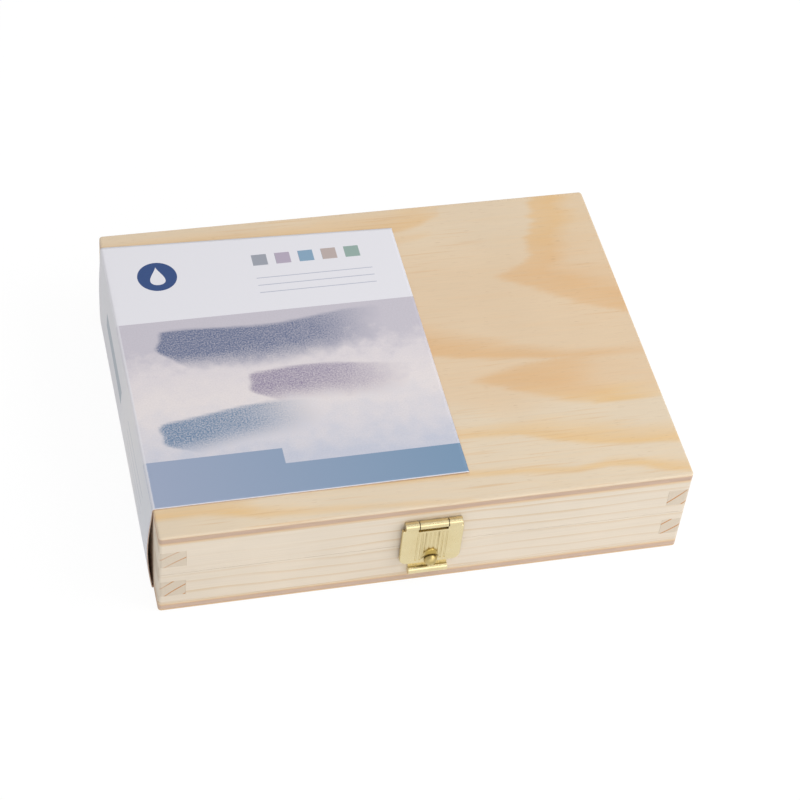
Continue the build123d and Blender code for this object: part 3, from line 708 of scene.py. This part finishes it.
def lid_figure(x, y):
    """How warm the veneer is at a point of the lid, and how peach its ground. A band is warmest just above
    its lower edge and fades with a smooth step over its width; a flame is warm along its outer edge and
    fades inwards. A slow wander bends all the edges a little, and two quick ones along the grain fray
    them."""
    x = (x + 1.2 * ripple(x * 0.6, y, 40.0, 3) + 1.6 * ripple(x * 0.12, y, 7.0, 11)
         + ripple(x * 0.1, y, 3.2, 12))
    y = y + 0.5 * ripple(x * 0.5, y * 1.3, 24.0, 8)
    warm = np.zeros_like(x)
    for line_x, line_y, widths, strengths in BANDS:
        above = y - np.interp(x, line_x, line_y)
        fade = 1.0 - smooth_step(0.1, 1.0, above / np.interp(x, line_x, widths))
        warm = np.maximum(warm, np.interp(x, line_x, strengths) * fade * smooth_step(-1.3, 1.0, above))
    for line_x, line_y, strengths in FLAMES:
        depth = flame_depth(x, y, line_x, line_y)
        body = np.interp(depth, FLAME_DEPTHS, strengths) * smooth_step(-1.8, 2.2, depth)
        # The front flame gets paler at its right end, towards its upper side.
        fade = 1.0 - 0.65 * smooth_step(57.0, 74.0, x) * (y < 0) * smooth_step(-29.0, -23.0, y)
        warm = np.maximum(warm, body * fade)
    tone = smooth_step(-36.0, -24.0, y + 3.0 * ripple(x, y, 30.0, 5))
    return warm, tone * (1.0 - 0.6 * smooth_step(30.0, 58.0, y))


def eased_slab(name, half_x, half_y, top, foot, corner, ease, step):
    """A panel with round corners and an eased top edge. The grid runs over the flat middle, then out by
    a distance that first crosses the corner's radius, then turns down a quarter circle and falls to the
    foot; in the corners the same distance is laid out along directions that fan through 90 degrees."""
    turn = ease * math.pi / 2
    out = np.concatenate([[corner - ease], corner - ease + turn * np.linspace(0.2, 1.0, 5),
                          [corner - ease + turn + top - foot - ease]])
    cores = (half_x - corner, half_y - corner)
    lines = [np.concatenate([-core - out[::-1], np.linspace(-core, core, int(2 * core / step) + 1),
                             core + out]) for core in cores]
    u, v = np.meshgrid(*lines, indexing="ij")
    beyond_u = np.maximum(np.abs(u) - cores[0], 0.0)
    beyond_v = np.maximum(np.abs(v) - cores[1], 0.0)
    most = np.maximum(beyond_u, beyond_v)
    fan = math.pi / 4 * np.minimum(beyond_u, beyond_v) / np.maximum(most, 1e-9)
    fan = np.where(beyond_u >= beyond_v, fan, math.pi / 2 - fan)
    bend = np.clip((most - corner + ease) / ease, 0.0, math.pi / 2)
    reach = np.minimum(most, corner - ease) + ease * np.sin(bend)
    drop = ease * (1 - np.cos(bend)) + np.maximum(most - (corner - ease) - turn, 0.0)
    x = np.sign(u) * (np.minimum(np.abs(u), cores[0]) + np.cos(fan) * reach)
    y = np.sign(v) * (np.minimum(np.abs(v), cores[1]) + np.sin(fan) * reach)
    return close_mesh(grid_mesh(name, np.stack([x, y, top - drop], axis=-1)), fill=True)


class TUBEBOX_OT_boards(Operator):
    """Dresses the eight finger-jointed boards, which were one frame before it was sawn into tray and lid"""
    bl_idname = "tube_box.boards"
    bl_label = "Pine boards"

    def execute(self, context):
        wood = context.scene.tube_box_wood
        # Fibres, pith, ring width and phase; the side boards' rings rise at about 39 degrees on their ends.
        boards = (("front", "X", (-74.0, -95.0), wood.ring_width / MM, 2.1),
                  ("back", "X", (60.0, 150.0), 4.4, 0.4),
                  ("left", "Y", (-54.0, -28.0), 4.0, 3.7, 0.1, 0.45),
                  ("right", "Y", (44.5, 72.0), 4.7, 5.95, 0.1, 0.45))
        pines = {side: sawn_pine(f"sawn pine, {side} board", *log) for side, *log in boards}
        for part in ("tray", "lid"):
            for side, pine in pines.items():
                node = f"{part}_{side}_board"
                merged_copy(node, f"{node}_wood", pine, wood.edge_break)
        return {"FINISHED"}


class TUBEBOX_OT_panels(Operator):
    """Dresses the three plies of the lid panel and of the bottom panel"""
    bl_idname = "tube_box.panels"
    bl_label = "Three-ply panels"

    def execute(self, context):
        wood = context.scene.tube_box_wood
        low, high = node_box("lid_outer_ply")
        mesh = eased_slab("lid_veneer", *high, low[2], corner=1.2, ease=0.6, step=1.0)
        points = np.empty(len(mesh.vertices) * 3, np.float32)
        mesh.vertices.foreach_get("co", points)
        x, y, _ = points.reshape(-1, 3).T / MM
        for layer, values in zip(("band", "tone"), lid_figure(x, y)):
            mesh.attributes.new(layer, "FLOAT", "POINT").data.foreach_set("value", values.astype(np.float32))
        piece("lid_veneer", mesh, [knife_veneer("rotary-cut pine veneer")], "lid_outer_ply")
        for part, glue_side, phase in (("tray", 0, 5.0), ("lid", 1, 2.0)):
            node = f"{part}_core_ply"
            core = core_veneer(f"{part} core veneer edge", node, getattr(wood, f"{part}_core"))
            merged_copy(node, f"{part}_core_veneer", core)
            node = f"{part}_inner_ply"
            inner = face_veneer(f"{part} inner veneer", node, "#E2CDB0", "#DDBE9A", glue_side, phase)
            merged_copy(node, f"{part}_inner_veneer", inner)
        # The bottom panel's outer ply has paler, warmer tones than the other plies: painted light, standing
        # in for the light that the floor throws on the case's lowest edge.
        outer = face_veneer("tray outer veneer", "tray_outer_ply", "#EAD7B4", "#E0BD90", 1, 0.5)
        merged_copy("tray_outer_ply", "tray_outer_veneer", outer)
        return {"FINISHED"}


class TUBEBOX_OT_dividers(Operator):
    """Dresses the four thin dividers between the tubes"""
    bl_idname = "tube_box.dividers"
    bl_label = "Dividers"

    def execute(self, context):
        wood = context.scene.tube_box_wood
        pine = sawn_pine("planed pine, dividers", "Y", (20.0, -60.0), 3.2, 0.0)
        for number in range(1, 5):
            node = f"divider_{number}"
            merged_copy(node, f"{node}_wood", pine, wood.edge_break)
        return {"FINISHED"}


# ---------------- brass fittings

class TUBEBOX_OT_hinges(Operator):
    """Dresses the two butt hinges, their pins and their screws"""
    bl_idname = "tube_box.hinges"
    bl_label = "Butt hinges"

    def execute(self, context):
        edge = context.scene.tube_box_brass.edge_break
        brass = rolled_brass("rolled brass, hinges", (400, 3500, 3500))
        steel = drawn_steel("drawn steel")
        for side in ("left", "right"):
            for part in ("tray", "lid"):
                merged_copy(f"{side}_hinge_{part}_leaf", f"{side}_hinge_{part}_brass", brass, edge)
            merged_copy(f"{side}_hinge_pin", f"{side}_hinge_pin_steel", steel, edge)
        for part in ("tray", "lid"):
            merged_copy(f"{part}_hinge_screws", f"{part}_hinge_screws_brass", brass)
        return {"FINISHED"}


class TUBEBOX_OT_latch(Operator):
    """Dresses the swinging hasp, the leaf that carries it, and the keeper with its ball-headed stud"""
    bl_idname = "tube_box.latch"
    bl_label = "Hasp and keeper"

    def execute(self, context):
        edge = context.scene.tube_box_brass.edge_break
        low, high = node_box("catch_stud")
        stud = ((low[0] + high[0]) / 2, low[1], (low[2] + high[2]) / 2)
        upright = rolled_brass("rolled brass, hasp", (2600, 2600, 260), stud)
        level = rolled_brass("rolled brass, keeper", (260, 2600, 2600))
        merged_copy("hasp", "hasp_plate", upright)
        merged_copy("hasp_leaf", "hasp_leaf_brass", level, edge)
        merged_copy("keeper_plate", "keeper_brass", level, edge)
        merged_copy("catch_stud", "catch_stud_brass", turned_brass("turned brass, stud"))
        merged_copy("hasp_pin", "hasp_pin_steel", drawn_steel("drawn steel, hasp pin"))
        for part in ("hasp_leaf_nails", "keeper_nails"):
            merged_copy(part, f"{part}_brass", level)
        return {"FINISHED"}


# ---------------- card wrap

def wash_fields(across, up):
    """Wetness of three broad brush strokes at a point of the card, in mm. Across a stroke the upper edge
    is crisp and the lower one bleeds out; along it the wetness falls from the left end to the right."""
    strokes = ((12.0, 96.0, 70.0, 6.0, 0.04, 1.0), (40.0, 101.0, 50.0, 5.0, -0.03, 0.85),
               (7.0, 66.0, 32.0, 5.0, 0.06, 0.9))
    fields = []
    for number, (start, end, height, half, slope, most) in enumerate(strokes):
        # The middle line slopes, and wanders by 1.3 mm to either side.
        line = height + slope * (across - start) + 1.3 * np.sin(across / 11.0 + 2.0 * number)
        rise = (up - line) / half
        body = smooth_step(1.15, 0.85, rise) * smooth_step(-2.6, -0.5, rise)
        round_start = start + 2.5 * rise ** 2 + 0.8 * np.sin(4.0 * rise + number)
        ends = smooth_step(-0.8, 1.6, across - round_start) * smooth_step(end + 2.0, end - 30.0, across)
        fields.append(most * body * ends * (1.0 - 0.35 * smooth_step(start, end, across)))
    return np.stack(fields + [np.ones_like(across)], axis=-1)


def card_surface():
    """Outer face of the card. Down the section it runs level from the free edge to the fold, turns a
    small quarter circle, bellies out as a sine over the side, widest a little below the middle, and turns
    in under the case at its foot; from front to back the belly gets less. The front edge runs forward
    towards its foot, and the free corner lifts a little."""
    free_x, fold_x, lip_x = 15.0, -90.4, -89.77
    top, radius = 38.4, 0.9
    foot_z, foot_radius = 0.35, 0.45
    front_y, case_left = -58.0, -90.0
    # Depth lost for each mm to the right, and how far the foot runs forward, the side bellies out, its lowest
    # part stands off and the free corner lifts.
    taper, lean, bulge, stand_off, lift = 0.0362, 2.1, 1.72, 0.25, 0.22
    flat = np.linspace(free_x, fold_x + radius, 106)
    arc = np.linspace(0.0, math.pi / 2, 7)[1:]
    fall = np.linspace(0.0, 1.0, 31)[1:]
    x = np.concatenate([flat, fold_x + radius - radius * np.sin(arc), np.full(fall.shape, fold_x),
                        fold_x + foot_radius * (1 - np.cos(arc)), [lip_x]])
    z = np.concatenate([np.full(flat.shape, top), top - radius * (1 - np.cos(arc)),
                        top - radius - fall * (top - radius - foot_z - foot_radius),
                        foot_z + foot_radius * (1 - np.sin(arc)), [foot_z]])
    share = np.concatenate([np.zeros(flat.size + arc.size), fall, np.ones(arc.size + 1)])
    walk = np.concatenate([[0.0], np.cumsum(np.hypot(np.diff(x), np.diff(z)))])
    across = walk[flat.size + 2] - walk  # from the middle of the fold's quarter circle
    rows = np.linspace(0.0, 1.0, 122)
    across, up = np.meshgrid(across, rows, indexing="ij")
    x, share, z = (np.repeat(line[:, None], rows.size, axis=1) for line in (x, share, z))
    depth = CARD_DEPTH - taper * np.clip(x - case_left, 0.0, None)
    skew = lean * share ** 1.5
    y = front_y - skew + up * (depth + skew)
    belly = 1.0 - 0.62 * smooth_step(-50.0, 60.0, y)
    x = x - belly * bulge * np.sin(math.pi * share ** 1.15) * (share > 0)
    x = x - stand_off * smooth_step(0.6, 1.0, share)
    corner = smooth_step(60.0, CARD_WIDTH, across) * smooth_step(0.35, 0.0, up)
    z = z + lift * corner * (across > 0)
    points = np.stack([x, y, z], axis=-1)
    uv = np.stack([across / (2 * UV_REACH) + 0.5, up * depth / CARD_DEPTH], axis=-1)
    return points, uv, wash_fields(across, up * depth)


class TUBEBOX_OT_wrap(Operator):
    """Makes the printed card that covers the left part of the lid and bellies over the left side"""
    bl_idname = "tube_box.wrap"
    bl_label = "Card wrap"

    def execute(self, context):
        points, uv, washes = card_surface()
        mesh = grid_mesh("card_sleeve", points, uv=uv)
        layer = mesh.attributes.new("wash", "FLOAT_COLOR", "POINT")
        layer.data.foreach_set("color", washes.reshape(-1, 4).astype(np.float32).ravel())
        if mesh.polygons[0].normal.z < 0:
            mesh.flip_normals()
        papers = [printed_card("printed coated card"),
                  raw_card("recycled board, inner side", "#B8917A", "#CCA98F"),
                  raw_card("cut board edge", "#C9B2A2", "#DCCABD")]
        sleeve = piece("card_sleeve", mesh, papers, "card_wrap", 60.0)
        sheet = sleeve.modifiers.new("card thickness", "SOLIDIFY")
        sheet.thickness = context.scene.tube_box_card.thickness
        sheet.offset = -1.0
        sheet.material_offset = 1
        sheet.material_offset_rim = 2
        return {"FINISHED"}


# ---------------- paint tubes

# Places along Y, heights and radii of the tubes and the caps as they are packed, in mm.
CAP_FRONT, CAP_BACK = -46.0, -29.0
SHOULDER_FRONT, SHOULDER_BACK = -28.6, -25.1
NECK_FRONT, CRIMP, TAIL = -35.6, 55.5, 60.5
NECK_Z, FLOOR_Z = 13.8, 4.3
BODY, TAIL_HALF_WIDTH, TAIL_HALF_HEIGHT, WALL = 9.5, 14.6, 0.8, 0.38
RIM, NECK_FOOT, NECK, MOUTH, THREAD_PITCH, THREAD_DEPTH = 9.1, 4.9, 4.5, 2.02, 1.5, 0.32
CAP_NARROW, CAP_WIDE, BORE = 6.9, 7.6, 4.56
POLE = 0.01  # radius of a section that closes an end


def tube_places():
    """The middle of each tube across the box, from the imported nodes."""
    boxes = [node_box(f"tube_{number}") for number in range(1, 6)]
    return [float((low[0] + high[0]) / 2) for low, high in boxes]


def tube_surface(around=112):
    """Skin of one tube about x = 0, as sections along Y. The body's section is an ellipse whose half
    height falls evenly from the shoulder to the folded tail while its half width grows, with shallow
    creases that run into the tail; the neck has a thread cut into it as a helix. The sections then
    turn in at the mouth and come back as the inner wall."""
    angle = np.linspace(0.0, 2 * math.pi, around, endpoint=False)
    rows = []

    def section(y, wide, high, middle, dent=0.0, power=1.0):
        c, s = np.cos(angle), np.sin(angle)
        x = (wide + dent) * np.sign(c) * np.abs(c) ** power
        z = middle + (high + dent) * np.sign(s) * np.abs(s) ** power
        rows.append(np.stack([x, np.full_like(x, y), z], axis=-1))

    def body(share, inset):
        ease = share * share * (3 - 2 * share)
        wide = BODY - inset + (TAIL_HALF_WIDTH - BODY) * ease
        high = BODY - inset + (TAIL_HALF_HEIGHT + inset / 2 - BODY) * share
        return wide, high, FLOOR_Z + inset + high

    # Tail: three folds with flat faces and pressed grooves between them.
    full, pressed = TAIL_HALF_HEIGHT, 0.66
    tail_z = FLOOR_Z + full
    section(TAIL, POLE, POLE, tail_z)
    folds = [(TAIL - back, high) for back, high in (
        (0.0, 0.45), (0.15, 0.72), (0.4, full), (1.5, full), (1.7, pressed), (1.9, full), (3.1, full),
        (3.3, pressed), (3.5, full))]
    for y, high in (*folds, (CRIMP + 0.3, full), (CRIMP, 0.74)):
        section(y, TAIL_HALF_WIDTH, high, tail_z, power=0.35)
    length_y = CRIMP - SHOULDER_BACK
    # Creases less than 0.2 mm deep grow towards the tail, and its folding has pressed most of them out.
    for share in np.linspace(0.985, 0.0, 72):
        wide, high, middle = body(share, 0.0)
        crease = 0.16 * share ** 3 * np.sin(angle * 9 + 2.5 * share) + 0.1 * share * np.sin(
            angle * 4 + 9 * share) * np.sin(share * 21)
        crease = crease * (1.0 - 0.85 * smooth_step(0.75, 0.97, share))
        power = 1.0 - 0.45 * smooth_step(0.75, 1.0, share)
        dent = -np.abs(crease) * min(1.0, high)
        section(SHOULDER_BACK + share * length_y, wide, high, middle, dent, power)
    # Shoulder with a small rolled rim, then the neck.
    for ahead, radius in ((0.25, 9.42), (0.45, RIM), (0.6, 8.6)):
        section(SHOULDER_BACK - ahead, radius, radius, NECK_Z)
    for share in np.linspace(0.15, 1.0, 7):
        radius = RIM + (NECK_FOOT - RIM) * share
        section(SHOULDER_BACK - share * (SHOULDER_BACK - SHOULDER_FRONT), radius, radius, NECK_Z)
    for y in np.linspace(SHOULDER_FRONT, NECK_FRONT + 0.5, 40):
        turn = (y - SHOULDER_FRONT) / THREAD_PITCH * 2 * math.pi
        groove = THREAD_DEPTH * (0.5 + 0.5 * np.sin(angle + turn)) * smooth_step(0.0, 1.0, SHOULDER_FRONT - y)
        section(y, NECK, NECK, NECK_Z, -groove)
    for y, radius in ((NECK_FRONT + 0.2, 4.2), (NECK_FRONT, 4.0), (NECK_FRONT, 2.35),
                      (NECK_FRONT + 0.15, 2.08), (NECK_FRONT + 0.5, MOUTH), (SHOULDER_BACK, MOUTH)):
        section(y, radius, radius, NECK_Z)
    for share in np.linspace(0.0, 0.985, 24):
        section(SHOULDER_BACK + share * (length_y - 0.4), *body(share, WALL))
    section(CRIMP - 0.4, POLE, POLE, tail_z)
    points = np.array(rows)
    step = np.concatenate([[0.0], np.cumsum(np.abs(np.diff(points[:, 0, 1])) + 0.2)])
    u, v = np.meshgrid(np.linspace(0.0, 1.0, around + 1), step / step[-1])
    return points, np.stack([u, v], axis=-1)


def cap_surface(around=224):
    """Screw cap about x = 0, as rings along Y: outside an octagon with softened corners that narrows
    towards the front and has a grip groove down each side, inside a round bore."""
    angle = np.linspace(0.0, 2 * math.pi, around, endpoint=False)
    eighth = math.pi / 4
    flat = (angle % eighth) - eighth / 2
    octagon = math.cos(eighth / 2) / np.cos(flat)
    # Past this share of the corners' radius the outline rises more slowly, which softens them.
    soft_from, soft_rise = 0.982, 0.35
    octagon = np.minimum(octagon, soft_from + soft_rise * (octagon - soft_from))
    # The grip groove in the middle of each side is a bell curve.
    grip_radius, grip_width, grip_depth = 7.2, 0.3, 0.34
    groove = np.exp(-(flat * grip_radius / grip_width) ** 2)
    rows = []

    def ring(y, radius, sides, cut=0.0):
        edge = radius * (sides * octagon + (1 - sides)) - cut * groove
        x, z = edge * np.cos(angle), NECK_Z + edge * np.sin(angle)
        rows.append(np.stack([x, np.full_like(edge, y), z], axis=-1))

    ring(CAP_FRONT + 0.45, POLE, 0.0)
    for radius, y, sides in ((3.0, 0.45, 0.0), (4.9, 0.45, 0.2), (5.3, 0.35, 0.4), (5.6, 0.05, 0.7),
                             (6.2, 0.0, 1.0), (6.55, 0.06, 1.0), (6.78, 0.25, 1.0)):
        ring(CAP_FRONT + y, radius, sides)
    for y in np.linspace(CAP_FRONT + 0.55, CAP_BACK - 0.5, 12):
        radius = CAP_NARROW + (CAP_WIDE - CAP_NARROW) * (y - CAP_FRONT) / (CAP_BACK - CAP_FRONT)
        cut = grip_depth * float(smooth_step(0.6, 1.8, y - CAP_FRONT) * smooth_step(0.9, 2.0, CAP_BACK - y))
        ring(y, radius, 1.0, cut)
    for y, radius, sides in ((CAP_BACK - 0.2, 7.56, 1.0), (CAP_BACK - 0.05, 7.42, 1.0), (CAP_BACK, 7.2, 1.0),
                             (CAP_BACK, 4.9, 0.0), (CAP_BACK - 0.3, BORE, 0.0)):
        ring(y, radius, sides)
    bore_end = NECK_FRONT - 1.04
    for y in np.linspace(CAP_BACK - 0.5, NECK_FRONT - 1.0, 10):
        ring(y, BORE, 0.0)
    for radius in (4.4, POLE):
        ring(bore_end, radius, 0.0)
    return np.array(rows)


class TUBEBOX_OT_tubes(Operator):
    """Makes the five lacquered tubes, and dresses the paint in them"""
    bl_idname = "tube_box.tubes"
    bl_label = "Paint tubes"

    def execute(self, context):
        points, uv = tube_surface()
        for number, x in enumerate(tube_places(), start=1):
            tone = getattr(context.scene.tube_box_tubes, f"paint_{number}")
            name = f"tube_{number}_skin"
            mesh = close_mesh(grid_mesh(name, points + np.array([x, 0.0, 0.0]), closed=True, uv=uv))
            skin = lacquered_tube(f"lacquered aluminium {number}", tone)
            piece(name, mesh, [skin], f"tube_{number}")
            dress(f"tube_{number}_paint", wet_paint(f"watercolour paste {number}", tone))
        return {"FINISHED"}


class TUBEBOX_OT_caps(Operator):
    """Makes the five eight-sided screw caps, and dresses the seals in them"""
    bl_idname = "tube_box.caps"
    bl_label = "Screw caps"

    def execute(self, context):
        points = cap_surface()
        plastic = moulded_cap("moulded polypropylene")
        seal = foam("polyethylene foam")
        for number, x in enumerate(tube_places(), start=1):
            name = f"tube_{number}_cap_shell"
            mesh = close_mesh(grid_mesh(name, points + np.array([x, 0.0, 0.0]), closed=True))
            piece(name, mesh, [plastic], f"tube_{number}_cap", 30.0)
            dress(f"tube_{number}_seal", seal)
        return {"FINISHED"}


# ---------------- stage

# Half the floor's width, the gap under the box, and the point that the lamps look at, in metres.
FLOOR_HALF, FLOOR_GAP, LAMP_TARGET = 3.0, 0.0002, (0, 0, 0.02)
# The camera was solved from the straight edges of the case in the photograph: lens in mm, place in metres.
CAMERA_LENS, CAMERA_PLACE = 103.641, (-0.164531, -0.524990, 0.612660)
CAMERA_TURN = ((0.971701, 0.107929, -0.210114), (-0.220540, 0.733139, -0.643327),
               (0.084609, 0.671460, 0.736195))


def lamp(name, power, size, place):
    """A large soft lamp that looks at the box."""
    light = bpy.data.lights.new(name, "AREA")
    light.energy = power
    light.shape = "RECTANGLE"
    light.size, light.size_y = size
    obj = bpy.data.objects.new(name, light)
    bpy.context.scene.collection.objects.link(obj)
    aim = Vector(place) - Vector(LAMP_TARGET)
    obj.matrix_world = Matrix.Translation(place) @ aim.to_track_quat("Z", "Y").to_matrix().to_4x4()


def seen_rays(add):
    """1 for each ray that shows a surface straight, mirrored or through glass, and the mirrored ones."""
    path = add("LightPath").outputs
    seen = add("Math MAXIMUM", path["Is Camera Ray"], path["Is Glossy Ray"])
    return add("Math MAXIMUM", seen, path["Is Transmission Ray"]), path["Is Glossy Ray"]


def pale_floor(name, tone):
    """Plain matt floor that shows nearly white and keeps the soft shadow of the box."""
    material, add = new_material(name)
    share = add("Math MULTIPLY", seen_rays(add)[0], 0.9)
    glow = add("Emission", (1, 1, 1, 1), 1.03)
    add("OutputMaterial", add("MixShader", share, add("BsdfDiffuse", tone), glow))
    return material


def white_surroundings(name, ambient):
    """Even light all round. What is seen of it is white; metal mirrors a white horizon and a dim ceiling,
    as in a studio with its lamps at the sides."""
    world = bpy.data.worlds.new(name)
    world.use_nodes = True
    world.node_tree.nodes.clear()
    add = node_adder(world.node_tree)
    seen, mirrored = seen_rays(add)
    height = add("SeparateXYZ", add("TexCoord").outputs["Generated"]).outputs["Z"]
    ceiling = add("MapRange", height, 0.15, 0.75, 1.0, 0.7)
    shown = add("Mix", mirrored, 1.0, ceiling, data_type="FLOAT")
    strength = add("Mix", seen, ambient, shown, data_type="FLOAT")
    add("OutputWorld", add("Background", (1, 1, 1, 1), strength))
    return world


class TUBEBOX_OT_stage(Operator):
    """Sets the floor, the soft lamps, the white surroundings and the camera"""
    bl_idname = "tube_box.stage"
    bl_label = "Stage and camera"

    def execute(self, context):
        scene = context.scene
        stage = scene.tube_box_stage
        mesh = bpy.data.meshes.new("floor")
        corners = [(x * FLOOR_HALF, y * FLOOR_HALF, -FLOOR_GAP)
                   for x, y in ((-1, -1), (1, -1), (1, 1), (-1, 1))]
        mesh.from_pydata(corners, [], [(0, 1, 2, 3)])
        mesh.materials.append(pale_floor("pale floor", stage.floor))
        floor = bpy.data.objects.new("floor", mesh)
        scene.collection.objects.link(floor)
        lamp("lamp right", stage.key, (0.7, 0.7), (0.75, -0.35, 0.85))
        lamp("lamp front", stage.fill, (0.9, 0.5), (0.05, -0.95, 0.45))
        scene.world = white_surroundings("surroundings", stage.ambient)
        scene.view_settings.view_transform = "Standard"
        camera = bpy.data.cameras.new("camera")
        camera.sensor_width = 36.0
        camera.sensor_fit = "HORIZONTAL"
        camera.lens = CAMERA_LENS
        camera.clip_start = 0.01
        view = bpy.data.objects.new("camera", camera)
        scene.collection.objects.link(view)
        view.matrix_world = Matrix.Translation(CAMERA_PLACE) @ Matrix(CAMERA_TURN).to_4x4()
        scene.camera = view
        return {"FINISHED"}


class TUBEBOX_PT_sidebar(Panel):
    """Lists the steps that dress the box, and their settings"""
    bl_idname = "TUBEBOX_PT_sidebar"
    bl_label = "Tube box"
    bl_space_type = "VIEW_3D"
    bl_region_type = "UI"
    bl_category = "Tube Box"

    def draw(self, context):
        layout = self.layout
        for step in STEPS:
            layout.operator(step.bl_idname)
        for name, group in SETTINGS.items():
            box = layout.box()
            box.label(text=name.removeprefix("tube_box_").capitalize())
            for field in group.__annotations__:
                box.prop(getattr(context.scene, name), field)


SETTINGS = {"tube_box_wood": WoodSettings, "tube_box_brass": BrassSettings, "tube_box_card": CardSettings,
            "tube_box_tubes": TubeSettings, "tube_box_stage": StageSettings}
STEPS = (TUBEBOX_OT_boards, TUBEBOX_OT_panels, TUBEBOX_OT_dividers, TUBEBOX_OT_hinges, TUBEBOX_OT_latch,
         TUBEBOX_OT_wrap, TUBEBOX_OT_tubes, TUBEBOX_OT_caps, TUBEBOX_OT_stage)


def register():
    """Registers the settings, the steps and the sidebar panel."""
    for name, group in SETTINGS.items():
        bpy.utils.register_class(group)
        setattr(bpy.types.Scene, name, PointerProperty(type=group))
    for item in (*STEPS, TUBEBOX_PT_sidebar):
        bpy.utils.register_class(item)


def unregister():
    """Takes back what register did."""
    for item in (TUBEBOX_PT_sidebar, *reversed(STEPS)):
        bpy.utils.unregister_class(item)
    for name, group in reversed(SETTINGS.items()):
        delattr(bpy.types.Scene, name)
        bpy.utils.unregister_class(group)


def main():
    """Registers the add-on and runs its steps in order."""
    register()
    for step in STEPS:
        family, action = step.bl_idname.split(".")
        getattr(getattr(bpy.ops, family), action)()


if __name__ == "__main__":
    main()
